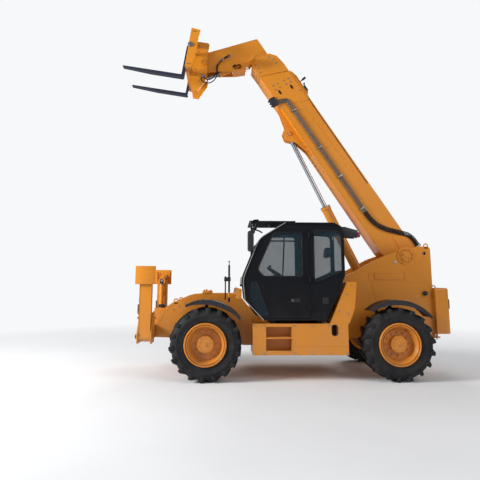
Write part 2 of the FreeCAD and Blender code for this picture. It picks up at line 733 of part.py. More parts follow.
def window_boxes():
    """Openings in the front, rear and roof of the cab: name, box."""
    y0, y1 = -CAB_OUT + 62, -CAB_IN - 62
    return [
        ("front", box(CAB_FRONT - 105, cab_x(0.354), y0, y1, 1330, 2470)),
        ("rear", box(CAB_REAR - 112, CAB_REAR + 88, y0, y1, 1790, 2420)),
        ("roof", box(cab_x(0.466), cab_x(0.852), y0 + 60, y1 - 60, 2500, 2700)),
    ]


def make_cab_shell():
    """Hollow cab body with its floor, door opening and window openings."""
    shell = cab_prism(0, -CAB_OUT, -CAB_IN).cut(cab_prism(CAB_WALL, -CAB_OUT + CAB_WALL, -CAB_IN - CAB_WALL))
    for name, opening in window_boxes():
        shell = shell.cut(opening)
    outer_cut = (-CAB_OUT - 1, -CAB_OUT + CAB_WALL + 1)
    door_hole = cab_prism(26, *outer_cut).common(box(CAB_FRONT - 105, DOOR_REAR_X, -1300, -900, 900, 2700))
    shell = shell.cut(door_hole)
    shell = shell.cut(plate(cab_points(QUARTER_WINDOW), *outer_cut))
    right = (-CAB_IN - CAB_WALL - 1, -CAB_IN + 1)
    shell = shell.cut(plate(cab_points(DOOR_WINDOW), *right))
    shell = shell.cut(plate(cab_points(QUARTER_WINDOW), *right))
    third = HINGE_HALF / 3
    hinges = []
    for z in HINGE_HEIGHTS:
        hinges.append(hinge_leaf(1, z, [(-third, third)]))
        hinges.append(rod_z(DOOR_REAR_X, HINGE_Y, HINGE_PIN_R, z - HINGE_HALF - 4, z + HINGE_HALF + 4))
    return fuse([shell] + hinges)


def make_cab_glass():
    panes = []
    for name, opening in window_boxes():
        curved = cab_prism(16, -CAB_OUT + 40,
                           -CAB_IN - 40).cut(cab_prism(16 + GLASS_T, -CAB_OUT + 30, -CAB_IN - 30))
        panes.append(curved.common(opening))
    panes.append(plate(cab_points(QUARTER_WINDOW), -CAB_OUT + 16, -CAB_OUT + 16 + GLASS_T))
    for window in (DOOR_WINDOW, QUARTER_WINDOW):
        panes.append(plate(cab_points(window), -CAB_IN - 16 - GLASS_T, -CAB_IN - 16))
    return group(panes)


def make_door():
    """Door frame that follows the cab's curved front edge, with its window cut."""
    body = cab_prism(26 + DOOR_GAP, -CAB_OUT, -CAB_OUT + CAB_WALL - 2)
    body = body.common(box(CAB_FRONT - 105, DOOR_REAR_X - DOOR_GAP, -1300, -900, 900, 2700))
    body = body.cut(plate(cab_points(DOOR_WINDOW), -CAB_OUT - 1, -CAB_OUT + CAB_WALL + 1))
    third = HINGE_HALF / 3
    tongues = [(-HINGE_HALF, -third - 0.3), (third + 0.3, HINGE_HALF)]
    body = fuse([body] + [hinge_leaf(-1, z, tongues) for z in HINGE_HEIGHTS])
    for z in HINGE_HEIGHTS:
        body = body.cut(rod_z(DOOR_REAR_X, HINGE_Y, HINGE_PIN_R + 0.3, z - HINGE_HALF - 5,
                              z + HINGE_HALF + 5))
    return body


def make_door_glass():
    return plate(cab_points(DOOR_WINDOW), -CAB_OUT + 16, -CAB_OUT + 16 + GLASS_T)


def make_cab_mounts():
    """Four rubber mounts between the tank box and the cab's floor."""
    places = [(x, y) for x in (cab_x(0.30), cab_x(0.747)) for y in (-1010, -560)]
    return group([rod_z(x, y, 45, BOX_HIGH, CAB_FLOOR_Z) for x, y in places])


def hinge_leaf(side, z, tongues):
    """Leaf of a door hinge with its knuckles; side 1 is on the cab and -1 on the door."""
    reach = HINGE_R + 2
    x0, x1 = sorted((DOOR_REAR_X + side * reach, DOOR_REAR_X + side * HINGE_LEAF))
    face = -CAB_OUT + (2 if side < 0 else 0)
    parts = [box(x0, x1, HINGE_Y, face, z - HINGE_HALF, z + HINGE_HALF)]
    for low, high in tongues:
        t0, t1 = sorted((DOOR_REAR_X, DOOR_REAR_X + side * (reach + 1)))
        parts.append(box(t0, t1, HINGE_Y, -CAB_OUT - 2, z + low, z + high))
        parts.append(rod_z(DOOR_REAR_X, HINGE_Y, HINGE_R, z + low, z + high))
    return fuse(parts)


def make_seat():
    rear = CAB_REAR - 162
    cushion = box(rear - 590, rear - 110, -950, -470, 1330, 1440)
    back = plate([(rear - 190, 1440), (rear - 90, 1440), (rear, 2040, 40), (rear - 90, 2050, 40)], -940, -480)
    post = box(rear - 500, rear - 200, -860, -560, CAB_FLOOR_Z + CAB_WALL, 1330)
    return fuse([cushion, back, post])


def make_console():
    """Dashboard with the steering column and its wheel."""
    floor = CAB_FLOOR_Z + CAB_WALL
    foot = cab_x(CAB_OUTLINE[0][0]) + 35
    body = plate([(foot, floor), (cab_x(0.319), floor), (cab_x(0.29), 1480, 40), (cab_x(0.196), 1500, 40),
                  (cab_x(0.126), 1400, 30)], -900, -520)
    centre = V(cab_x(0.357), -710, 1738)
    axis = V(0.56, 0, 0.83).normalize()
    column = rod_between(centre - axis * 340, centre, 30)
    angles = [math.pi * k / 4 for k in range(8)]
    section = [centre + Y_AXIS * (190 + 15 * math.cos(a)) + axis * (15 * math.sin(a)) for a in angles]
    wheel = Part.Face(Part.makePolygon(section + section[:1])).revolve(centre, axis, 360)
    spoke = rod_y(centre.x, centre.z, 12, centre.y - 190, centre.y + 190)
    return fuse([body, column, wheel, spoke])


def make_roof_guard():
    """Bar guard over the front of the roof, with its two side rails."""
    z = 2595
    x0, x1 = cab_x(0.067), cab_x(0.524)
    rails = [box(x0, x1, y, y + 30, z, z + 26) for y in (-1090, -350)]
    cross = [box(x, x + 26, -1090, -320, z, z + 26) for x in (x0, (x0 + x1) / 2 - 30, x1 - 26)]
    bars = [box(x0, x1, y, y + 14, z + 3, z + 20) for y in (-980, -870, -760, -650, -540, -430)]
    return fuse(rails + cross + bars)


def make_mirror():
    x = cab_x(0.109) - 45
    arm = rod_z(x, -1102.2, 12, 2060, 2622)
    head = plate([(x - 58, 2100, 40), (x + 38, 2100, 40), (x + 38, 2440, 40), (x - 58, 2440, 40)], -1148,
                 -1110)
    return fuse([arm, head])


# Boom sections


def make_boom_base():
    """Outer section: a folded box with a slanting end, doubled plates at the mouth and the lift ears."""
    shape = boom_plate([(-230, -160, 110), (-230, 150, 130), (170, BOOM_HIGH, 200),
                        (BASE_END_HIGH, BOOM_HIGH),
                        (BASE_END_LOW, BOOM_LOW), (260, BOOM_LOW, 150)], -BOOM_HALF, BOOM_HALF)
    w = BOOM_WALL
    cover = boom_plate([(3600, 315), (3640, 366, 20), (4060, 381, 20), (BASE_END_HIGH - 10, 345),
                        (BASE_END_HIGH, 315)],
                       -BOOM_HALF + 30, BOOM_HALF - 30)
    doubler = boom_plate([(3700, BOOM_LOW + 30, 20), (3500, BOOM_HIGH - 40, 20),
                          (BASE_END_HIGH - 20, BOOM_HIGH - 40, 20),
                          (BASE_END_LOW - 30, BOOM_LOW + 30, 20)], -BOOM_HALF - 9, BOOM_HALF + 9)
    bosses = boom_rod(0, 0, PIVOT_BOSS_R + 30, -BOOM_HALF - 30, BOOM_HALF + 30)
    heel = boom_plate([(420, 100), (224, 408, 40), (0, 425, 60), (-150, 200, 80), (-120, 60)],
                      -BOOM_HALF - 14, -BOOM_HALF + 6)
    shape = fuse([shape, cover, doubler, bosses, heel])
    cavity = boom_plate([(-218 + 60, -120, 60), (-218 + 60, 120, 60), (185, BOOM_HIGH - w, 160),
                         (4700, BOOM_HIGH - w),
                         (4700, BOOM_LOW + w), (275, BOOM_LOW + w, 120)], -BOOM_HALF + w, BOOM_HALF - w)
    shape = shape.cut(cavity)
    # Wear pads at the mouth
    gap = 0.3
    pads = [boom_plate([(3980, BOOM_LOW + w - 2), (4180, BOOM_LOW + w - 2), (4180, MID_LOW - gap),
                        (3980, MID_LOW - gap)], -110, 110),
            boom_plate([(3980, MID_HIGH + gap), (4150, MID_HIGH + gap), (4150, BOOM_HIGH - w + 2),
                        (3980, BOOM_HIGH - w + 2)], -110, 110)]
    for sign in (-1, 1):
        pad = boom_plate([(3990, -120), (4150, -120), (4150, 160), (3990, 160)], MID_HALF + gap,
                         BOOM_HALF - w + 2)
        pads.append(pad if sign > 0 else mirrored(pad))
    # Ears that hold the lift cylinder's rod eye
    a = LIFT_EYE_ALONG
    ears = []
    for sign in (-1, 1):
        ear = boom_plate([(a - 620, BOOM_LOW + 4), (a - 230, LIFT_EYE_UP + 20, 120),
                          (a - 60, LIFT_EYE_UP - 135, 60),
                          (a + 90, LIFT_EYE_UP - 100, 60), (a + 150, LIFT_EYE_UP + 10, 80),
                          (a + 640, BOOM_LOW + 4)], 62, 88)
        ears.append(ear if sign > 0 else mirrored(ear))
    shape = fuse([shape] + pads + ears)
    shape = shape.cut(boom_rod(0, 0, PIVOT_PIN_R + PIN_GAP, -500, 500))
    for sign in (-1, 1):
        stub = boom_rod(a, LIFT_EYE_UP, 38, LIFT_EYE_HALF + 8, 100)
        shape = shape.fuse(stub if sign > 0 else mirrored(stub))
    return raised(shape)


def make_boom_mid():
    """Middle section with the thick oblique collar at its mouth."""
    tube = boom_plate([(MID_START, MID_LOW), (MID_START, MID_HIGH), (4500, MID_HIGH), (4500, MID_LOW)],
                      -MID_HALF, MID_HALF)
    collar = boom_plate([(4226, 303), (4408, 303, 60), (4618, 273, 40), (4739, 172, 20), (4814, -160, 30),
                         (4692, -276, 20), (4434, -268)], -BOOM_HALF + 12, BOOM_HALF - 12)
    skirt = boom_plate([(4300, MID_LOW), (4720, MID_LOW), (4720, 150), (4300, 150)], -MID_HALF, MID_HALF)
    shape = fuse([tube, collar, skirt])
    w = MID_WALL
    cavity = boom_plate([(MID_START - 10, MID_LOW + w), (MID_START - 10, MID_HIGH - w),
                         (4300, MID_HIGH - w), (4300, MID_LOW + w)],
                        -MID_HALF + w, MID_HALF - w)
    mouth = boom_plate([(4200, INNER_LOW - 12), (4200, INNER_HIGH + 12), (5000, INNER_HIGH + 12),
                        (5000, INNER_LOW - 12)],
                       -INNER_HALF - 10, INNER_HALF + 10)
    shape = shape.cut(cavity).cut(mouth)
    gap = 0.3
    pads = []
    for z0, z1 in ((INNER_LOW - 14, INNER_LOW - gap), (INNER_HIGH + gap, INNER_HIGH + 14)):
        pads.append(boom_plate([(4400, z0), (4520, z0), (4520, z1), (4400, z1)], -90, 90))
    for sign in (-1, 1):
        pad = boom_plate([(4400, -110), (4520, -110), (4520, 90), (4400, 90)], INNER_HALF + gap,
                         INNER_HALF + 12)
        pads.append(pad if sign > 0 else mirrored(pad))
    return raised(fuse([shape] + pads))


def neck_outline():
    """Side outline of the gooseneck, its round nose centred on the tilt pivot."""
    nose = [(193, 64, 0), (-177, -90, 0), (-285, 148, 60), (-465, 438, 150), (-548, 622, 60)]
    lower = [(TILT_ALONG + along, TILT_UP + up, radius) for along, up, radius in nose]
    return [(TILT_ALONG - 575, INNER_HIGH),
            (TILT_ALONG - 117, INNER_HIGH, 30)] + lower + [(TILT_ALONG - 457, INNER_LOW + 2)]


def make_boom_inner():
    """Inner section with its welded gooseneck, open at the nose for the tilt cylinder."""
    tube = boom_plate([(INNER_START, INNER_LOW), (INNER_START, INNER_HIGH), (4860, INNER_HIGH),
                       (4860, INNER_LOW)],
                      -INNER_HALF, INNER_HALF)
    w = INNER_WALL
    bore = boom_plate([(INNER_START - 10, INNER_LOW + w), (INNER_START - 10, INNER_HIGH - w),
                       (4720, INNER_HIGH - w),
                       (4720, INNER_LOW + w)], -INNER_HALF + w, INNER_HALF - w)
    neck = boom_plate(neck_outline(), -INNER_HALF, INNER_HALF)
    nose = boom_rod(TILT_ALONG, TILT_UP, NOSE_R, -INNER_HALF, INNER_HALF)
    shape = fuse([tube.cut(bore), neck, nose])
    inside = INNER_HALF - NECK_WALL
    hollow = boom_plate([(4790, -190), (4860, -120, 40), (5100, -120, 60), (5235, -600), (5275, -800, 60),
                         (5420, -800),
                         (5600, -1100), (5400, -1400), (5000, -1400), (4900, -1000), (4830, -600, 100),
                         (4760, -420, 30)],
                        -inside, inside)
    ring = boom_rod(TILT_ALONG, TILT_UP, 85, -INNER_HALF, -inside + 30).fuse(
        boom_rod(TILT_ALONG, TILT_UP, 85, inside - 30, INNER_HALF))
    shape = shape.cut(hollow).fuse(ring).removeSplitter()
    window = [boom_rod(TILT_ALONG - 387, TILT_UP + 486, 55, -300, 300),
              boom_rod(TILT_ALONG - 419, TILT_UP + 558, 55, -300, 300)]
    shape = shape.cut(window[0]).cut(window[1])
    base_eye = [boom_rod(TILT_BASE_ALONG, TILT_BASE_UP, 50, -inside - 1, -TILT_BOSS_IN),
                boom_rod(TILT_BASE_ALONG, TILT_BASE_UP, 50, TILT_BOSS_IN, inside + 1)]
    base_pin = boom_rod(TILT_BASE_ALONG, TILT_BASE_UP, 22, -TILT_BOSS_IN - 20, TILT_BOSS_IN + 20)
    shape = fuse([shape] + base_eye + [base_pin])
    shape = shape.cut(boom_rod(TILT_ALONG, TILT_UP, TILT_PIN_R + PIN_GAP, -300, 300))
    return raised(shape)


# Carriage and forks, drawn upright with the tilt pivot at their origin, ahead along -X


def seated(shape):
    """A shape of the upright carriage, leaned back and moved to the tilt pivot at rest."""
    copy = turned(shape, V(0, 0, 0), Y_AXIS, REST_TILT)
    copy.translate(TILT_PIVOT)
    return copy


def carriage_point(ahead, up, y=0.0):
    return TILT_PIVOT + FreeCAD.Rotation(Y_AXIS, REST_TILT).multVec(V(-ahead, y, up))


def ahead_plate(points, y0, y1):
    return plate([(-p[0], p[1]) + tuple(p[2:]) for p in points], y0, y1)


def make_hitch():
    """Coupler: two side plates astride the neck's nose, tied by a front plate."""
    side = [(-48, 413, 50), (HITCH_PLATE + 5, 413, 20), (HITCH_PLATE + 5, -400), (150, -628, 20),
            (30, -628, 20), (-110, -330, 60),
            (-75, -60, 60), (-48, 150, 60)]
    parts = []
    for sign in (-1, 1):
        cheek = ahead_plate(side, HITCH_IN, HITCH_OUT)
        lever_pin = rod_y(-TILT_LEVER_AHEAD, TILT_LEVER_UP, 25, 52, HITCH_IN + 5)
        boss = rod_y(0, 0, 70, INNER_HALF + 5, HITCH_OUT + 20)
        for piece in (cheek, lever_pin, boss):
            parts.append(piece if sign > 0 else mirrored(piece))
    parts.append(box(-HITCH_PLATE - HITCH_PLATE_T, -HITCH_PLATE, -HITCH_OUT, HITCH_OUT, -400, 413))
    body = fuse(parts)
    end = HITCH_OUT + 30
    pin = rod_y(0, 0, TILT_PIN_R, -end, end)
    caps = [rod_y(0, 0, TILT_PIN_R + 14, -end, -HITCH_OUT - 19),
            rod_y(0, 0, TILT_PIN_R + 14, HITCH_OUT + 19, end)]
    return seated(fuse([body, pin] + caps))


def make_carriage():
    """Fork carriage: end plates, two rails and the lugs for the fork shaft."""
    front = HITCH_PLATE + HITCH_PLATE_T
    end = [(120, 449, 15), (CARRIAGE_FACE, CARRIAGE_TOP, 15), (CARRIAGE_FACE, CARRIAGE_BOTTOM),
           (172, CARRIAGE_BOTTOM, 20),
           (135, -100, 60), (135, 276, 60)]
    parts = []
    for sign in (-1, 1):
        cheek = ahead_plate(end, CARRIAGE_HALF - CARRIAGE_PLATE_T, CARRIAGE_HALF)
        parts.append(cheek if sign > 0 else mirrored(cheek))
    half = CARRIAGE_HALF - 5
    parts.append(box(-CARRIAGE_FACE + 0.3, -front, -half, half, CARRIAGE_BOTTOM, -230))
    parts.append(box(-front - 34, -front, -half, half, 250, 400))
    body = fuse(parts)
    return seated(body.cut(rod_y(-SHAFT_AHEAD, SHAFT_UP, SHAFT_R + PIN_GAP, -700, 700)))


def make_fork_shaft():
    end = CARRIAGE_HALF + 25
    return seated(rod_y(-SHAFT_AHEAD, SHAFT_UP, SHAFT_R, -end, end))


def make_fork(side):
    """Floating pallet fork: forged L with a tapering blade and an eye round the shaft."""
    y = side * FORK_SPACING / 2
    y0, y1 = y - FORK_WIDTH / 2, y + FORK_WIDTH / 2
    face = CARRIAGE_FACE
    tip = face + FORK_LENGTH
    top = FORK_TOP_UP
    shank = ahead_plate([(face, SHAFT_UP + 20, 20), (face + FORK_T - 8, SHAFT_UP + 20, 20),
                         (face + FORK_T, top, 12), (tip - 30, top),
                         (tip, top - 6), (tip, top - 14), (face + 650, top - FORK_T + 4),
                         (face, top - FORK_T, 30)], y0, y1)
    eye = rod_y(-SHAFT_AHEAD, SHAFT_UP, SHAFT_R + 24, y0, y1)
    body = fuse([shank, eye])
    return seated(body.cut(rod_y(-SHAFT_AHEAD, SHAFT_UP, SHAFT_R + 0.3, y0 - 1, y1 + 1)))


# Cylinders: a bored barrel on its base pin and a rod whose eye meets its pin at rest


def ram(base, eye, across, barrel_r, barrel_length, rod_r, eye_r, base_half, eye_half, pin_r, engaged):
    """Barrel and rod of one cylinder from its base pin to its rod pin; across is the pins' direction."""
    way = (eye - base)
    length = way.Length
    way.normalize()
    start = base + way * (eye_r * 0.5)
    tube = rod_between(start, base + way * barrel_length, barrel_r)
    gland = rod_between(base + way * (barrel_length - 60), base + way * barrel_length, barrel_r + 8)
    base_eye = Part.makeCylinder(eye_r, 2 * base_half, base - across * base_half, across)
    barrel = fuse([tube, gland, base_eye])
    bore = rod_between(base + way * (eye_r + 12), base + way * (barrel_length + 5), rod_r + PIN_GAP)
    barrel = barrel.cut(bore).cut(Part.makeCylinder(pin_r + PIN_GAP, 2 * base_half + 4,
                                                    base - across * (base_half + 2), across))
    rod = rod_between(base + way * (barrel_length - engaged), eye - way * (eye_r * 0.5), rod_r)
    rod_eye = Part.makeCylinder(eye_r, 2 * eye_half, eye - across * eye_half, across)
    rod = fuse([rod, rod_eye]).cut(Part.makeCylinder(pin_r + PIN_GAP, 2 * eye_half + 4,
                                                     eye - across * (eye_half + 2), across))
    return barrel, rod


def lift_ram():
    return ram(V(LIFT_BASE_X, 0, LIFT_BASE_Z), boom_point(LIFT_EYE_ALONG, LIFT_EYE_UP), Y_AXIS, LIFT_BARREL_R,
               LIFT_BARREL_LENGTH, LIFT_ROD_R, LIFT_EYE_R, LIFT_LUG_IN - 4, LIFT_EYE_HALF, LIFT_PIN_R, 520)


def tilt_ram():
    return ram(boom_point(TILT_BASE_ALONG, TILT_BASE_UP), carriage_point(TILT_LEVER_AHEAD, TILT_LEVER_UP),
               Y_AXIS,
               TILT_BARREL_R, TILT_BARREL_LENGTH, TILT_ROD_R, 40, TILT_BOSS_IN - 4, 34, 22, 240)


def leg_ram(side):
    base = V(LEG_X, side * (LEG_HINGE_Y - LEG_RAM_BASE_IN), LEG_HINGE_Z + LEG_RAM_BASE_UP)
    eye = V(LEG_X, side * (LEG_HINGE_Y - LEG_RAM_EYE_IN), LEG_HINGE_Z + LEG_RAM_EYE_UP)
    return ram(base, eye, X_AXIS, LEG_RAM_R, LEG_RAM_BARREL, LEG_RAM_ROD_R, 30, 60, 30, LEG_RAM_PIN_R,
               200)


def make_chassis_pins():
    """Every pin that the chassis holds: the boom's, the lift cylinder's and those of the two legs."""
    lift = rod_y(LIFT_BASE_X, LIFT_BASE_Z, LIFT_PIN_R, -145, 145)
    return group([make_boom_pin(), lift] + leg_pins(-1) + leg_pins(1))


def make_leg(side):
    """Fold-up leg, upright at rest: a box beam with its foot fork at the top and ears for its cylinder."""
    y_out = LEG_HINGE_Y + 55
    y_in = y_out - LEG_DEPTH
    x0, x1 = LEG_X - LEG_HALF_X, LEG_X + LEG_HALF_X
    z1 = LEG_HINGE_Z + LEG_LENGTH
    beam = box(x0, x1, y_in, y_out, LEG_HINGE_Z, z1 - 60)
    hub = rod_x(LEG_HINGE_Y, LEG_HINGE_Z, 62, x0, x1)
    tip = box(LEG_X - 32, LEG_X + 32, y_in + 10, y_out, z1 - 62,
              z1 - 10).fuse(rod_x(LEG_HINGE_Y, z1, 38, LEG_X - 32, LEG_X + 32))
    parts = [beam, hub, tip]
    ey = LEG_HINGE_Y - LEG_RAM_EYE_IN
    ez = LEG_HINGE_Z + LEG_RAM_EYE_UP
    for x in (LEG_X - 66, LEG_X + 40):
        parts.append(box(x, x + 26, ey - 32, y_in + 5, ez - 60, ez + 32))
    body = fuse(parts)
    body = body.cut(rod_x(LEG_HINGE_Y, LEG_HINGE_Z, LEG_PIN_R + PIN_GAP, x0 - 5, x1 + 5))
    body = body.cut(rod_x(LEG_HINGE_Y, z1, 20 + PIN_GAP, LEG_X - 60, LEG_X + 60))
    return body if side > 0 else mirrored(body)


def leg_pins(side):
    """Hinge pin of a leg and the base pin of its cylinder."""
    half = LEG_HALF_X + 45
    pin = rod_x(side * LEG_HINGE_Y, LEG_HINGE_Z, LEG_PIN_R, LEG_X - half, LEG_X + half)
    base = rod_x(side * (LEG_HINGE_Y - LEG_RAM_BASE_IN), LEG_HINGE_Z + LEG_RAM_BASE_UP, LEG_RAM_PIN_R,
                 LEG_X - half, LEG_X + half)
    return [pin, base]


def make_pad(side):
    """Foot pad, its sole facing outwards at rest, with two ears on the leg's tip pin."""
    z1 = LEG_HINGE_Z + LEG_LENGTH
    sole_in = LEG_HINGE_Y + 75
    sole = box(LEG_X - PAD_X / 2, LEG_X + PAD_X / 2, sole_in, sole_in + PAD_T, z1 - PAD_LENGTH / 2,
               z1 + PAD_LENGTH / 2)
    parts = [sole]
    for x in (LEG_X - 62, LEG_X + 40):
        parts.append(box(x, x + 22, LEG_HINGE_Y - 30, sole_in + 2, z1 - 40, z1 + 40))
    parts.append(rod_x(LEG_HINGE_Y, z1, 20, LEG_X - 75, LEG_X + 75))
    body = fuse(parts)
    return body if side > 0 else mirrored(body)


# Pipes, hoses and lamps


def make_boom_pipes():
    """Four steel pipes clamped along the near side of the boom, from the block under its mouth."""
    pipes = bundle(PIPE_ROUTE, PIPE_Y, PIPE_R)
    reach = PIPE_SPACING * PIPE_COUNT / 2 + 8
    clamps = []
    for along in CLAMPS:
        up = PIPE_ROUTE[1][1] + (PIPE_ROUTE[1][0] - along) / (PIPE_ROUTE[1][0] - PIPE_ROUTE[2][0]) * (
            PIPE_ROUTE[2][1] - PIPE_ROUTE[1][1])
        clamps.append(boom_plate([(along - 22, up - reach), (along + 22, up - reach),
                                  (along + 22, up + reach),
                                  (along - 22, up + reach)], PIPE_Y - PIPE_R - 5, -BOOM_HALF))
    start = PIPE_ROUTE[0]
    block = boom_plate([(start[0] - 70, start[1] - 60), (start[0] + 110, start[1] - 60),
                        (start[0] + 110, BOOM_LOW),
                        (start[0] - 70, BOOM_LOW)], PIPE_Y - 22, -BOOM_HALF + 50)
    return raised(fuse(pipes + clamps + [block]))


def make_boom_hoses():
    """The hoses that go on from the steel pipes over the boom's heel, held by its bracket."""
    hoses = bundle(BOOM_HOSE_ROUTE, HOSE_Y, HOSE_R)
    end = BOOM_HOSE_ROUTE[-1]
    reach = PIPE_SPACING * PIPE_COUNT / 2 + 6
    holder = boom_plate([(end[0] - 16, end[1] - reach), (end[0] + 24, end[1] - reach),
                         (end[0] + 24, end[1] + reach),
                         (end[0] - 16, end[1] + reach)], HOSE_Y - HOSE_R - 5, -BOOM_HALF - 14)
    return raised(fuse(hoses + [holder]))


def make_neck_hoses():
    """Two hoses from the neck's side plate through a clamp to the fixed half of a coupling."""
    hoses = [tube([V(*point) for point in route], HOSE_R) for route in NECK_HOSE_ROUTES]
    clamp = box(190, 250, -190, -INNER_HALF, 5975, 6030)
    x, y, z = COUPLING
    coupling = box(x - COUPLING_SIZE, x + COUPLING_SIZE, y - 14, y + 14, z, z + 34)
    ports = [rod_y(route[0][0], route[0][2], HOSE_R + 6, -INNER_HALF - 22,
                   -INNER_HALF) for route in NECK_HOSE_ROUTES]
    return fuse(hoses + ports + [clamp, coupling])


def make_coupler_hoses():
    """Two hoses from the turning half of that coupling, looping on to the block on the side plate."""
    hoses = [tube([V(*point) for point in route], HOSE_R) for route in COUPLER_HOSE_ROUTES]
    block = box(-190, -120, -235, -HITCH_OUT, 5585, 5640)
    x, y, z = COUPLING
    swivel = box(x - COUPLING_SIZE, x + COUPLING_SIZE, y - 46, y - 20, z, z + 34)
    return fuse(hoses + [block, swivel])


def make_lamps():
    """Two head lamps on brackets from the deck's edges; the left bracket also carries a marker post."""
    lamps = []
    for side in (-1, 1):
        arm0, arm1 = sorted((side * (PLATE_OUT - PLATE_T), side * 1040))
        shell0, shell1 = sorted((side * 930, side * 1040))
        arm = box(470, 520, arm0, arm1, DECK_Z, DECK_Z + 12)
        housing = plate([(500, 1310, 15), (590, 1330, 20), (590, 1480, 20), (500, 1500, 25)], shell0, shell1)
        pieces = [arm, housing]
        if side < 0:
            pieces.append(box(371, 480, -1009, -991, DECK_Z, DECK_Z + 12))
            pieces.append(rod_z(380, -1000, 9, 1260, 1930))
            pieces += [rod_z(380, -1000, 16, z, z + 40) for z in (1370, 1840)]
        lamps.append(fuse(pieces))
    return group(lamps)


SIDES = (("left", -1), ("right", 1))
# Axle, its x, and the angles above level at which its mudguards start and end
AXLES = (("front", 0.0, 62.0, 36.0), ("rear", WHEELBASE, 50.0, 38.0))


def build():
    """Every node's shape, drawn with the front axle at X = 0."""
    nodes = {
        "chassis_frame": make_chassis(),
        "chassis_pins": make_chassis_pins(),
        "counterweight": make_tail(),
        "nose_beam": make_nose_beam(),
        "step_box": make_step_box(),
        "engine_hood": make_hood(),
        "engine_block": make_engine(),
        "exhaust": make_exhaust(),
        "cab_shell": make_cab_shell(),
        "cab_glass": make_cab_glass(),
        "cab_door": make_door(),
        "cab_door_glass": make_door_glass(),
        "cab_mounts": make_cab_mounts(),
        "seat": make_seat(),
        "dashboard": make_console(),
        "roof_guard": make_roof_guard(),
        "mirror": make_mirror(),
        "boom_base": make_boom_base(),
        "boom_middle": make_boom_mid(),
        "boom_inner": make_boom_inner(),
        "hitch": make_hitch(),
        "carriage": make_carriage(),
        "fork_shaft": make_fork_shaft(),
        "boom_pipes": make_boom_pipes(),
        "boom_hoses": make_boom_hoses(),
        "neck_hoses": make_neck_hoses(),
        "coupler_hoses": make_coupler_hoses(),
    }
    nodes["lamps"] = make_lamps()
    for name, side in SIDES:
        nodes["fork_" + name] = make_fork(side)
        nodes["leg_" + name] = make_leg(side)
        nodes["pad_" + name] = make_pad(side)
        barrel, rod = leg_ram(side)
        nodes["leg_barrel_" + name] = barrel
        nodes["leg_rod_" + name] = rod
    nodes["lift_barrel"], nodes["lift_rod"] = lift_ram()
    nodes["tilt_barrel"], nodes["tilt_rod"] = tilt_ram()
    pattern = make_lugged_tyre()
    for axle, x, front_angle, rear_angle in AXLES:
        nodes[axle + "_axle"] = make_axle(x)
        for name, side in SIDES:
            corner = axle + "_" + name
            nodes["tyre_" + corner] = make_tyre(x, side, pattern)
            nodes["rim_" + corner] = make_rim(x, side)
            nodes["knuckle_" + corner] = make_knuckle(x, side)
            nodes["fender_" + corner] = make_fender(x, side, front_angle, rear_angle)
    return nodes


def middle_x(nodes):
    """X of the middle of the whole machine's box."""
    low = min(shape.optimalBoundingBox(False).XMin for shape in nodes.values())
    high = max(shape.optimalBoundingBox(False).XMax for shape in nodes.values())
    return (low + high) / 2


def main():
    os.makedirs("parts", exist_ok=True)
    nodes = build()
    shift = V(-middle_x(nodes), 0, 0)
    for name, shape in nodes.items():
        shape.translate(shift)
        shape.exportStep("parts/" + name + ".step")


if __name__ == "__main__":
    main()
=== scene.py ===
"""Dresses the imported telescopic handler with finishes, tyres, bolts, seams and hoses, in a plain studio."""
import json
import math

import bmesh
import bpy
from bpy.props import FloatProperty, FloatVectorProperty, IntProperty, PointerProperty
from bpy.types import Operator, Panel, PropertyGroup
from mathutils import Matrix, Vector


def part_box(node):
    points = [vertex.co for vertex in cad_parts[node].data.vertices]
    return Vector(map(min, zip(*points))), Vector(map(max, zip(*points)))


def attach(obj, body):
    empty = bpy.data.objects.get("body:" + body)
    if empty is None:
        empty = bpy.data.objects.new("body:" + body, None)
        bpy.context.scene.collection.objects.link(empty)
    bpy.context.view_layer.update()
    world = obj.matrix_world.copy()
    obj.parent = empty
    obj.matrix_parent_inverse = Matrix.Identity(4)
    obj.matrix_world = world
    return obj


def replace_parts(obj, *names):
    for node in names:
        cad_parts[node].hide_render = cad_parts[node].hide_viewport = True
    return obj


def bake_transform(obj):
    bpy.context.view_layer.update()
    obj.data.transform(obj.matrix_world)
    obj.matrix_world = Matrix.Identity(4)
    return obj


bl_info = {
    "name": "Telescopic Handler",
    "version": (1, 0, 0),
    "blender": (4, 5, 0),
    "location": "View3D > Sidebar > Handler",
    "description": "Dresses a telescopic handler and sets it in a plain studio",
    "category": "Object",
}

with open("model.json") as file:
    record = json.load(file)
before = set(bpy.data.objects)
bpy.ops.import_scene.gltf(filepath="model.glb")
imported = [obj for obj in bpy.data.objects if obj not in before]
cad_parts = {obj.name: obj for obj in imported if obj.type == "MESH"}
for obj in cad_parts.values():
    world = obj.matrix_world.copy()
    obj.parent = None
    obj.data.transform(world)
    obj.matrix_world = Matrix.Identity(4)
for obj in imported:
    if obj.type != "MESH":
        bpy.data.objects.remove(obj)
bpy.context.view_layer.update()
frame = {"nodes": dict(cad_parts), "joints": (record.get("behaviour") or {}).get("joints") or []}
NODES = frame["nodes"]

CORNERS = ("front_left", "front_right", "rear_left", "rear_right")


def span(node):
    """Lowest and highest corner of a node."""
    low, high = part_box(node)
    return Vector(low), Vector(high)


def centre(node):
    low, high = span(node)
    return (low + high) / 2


AXLE_X = centre("tyre_front_left").x
REAR_X = centre("tyre_rear_left").x
TYRE_RADIUS = (span("tyre_front_left")[1].z - span("tyre_front_left")[0].z) / 2


# Sizes and colours that a user may change


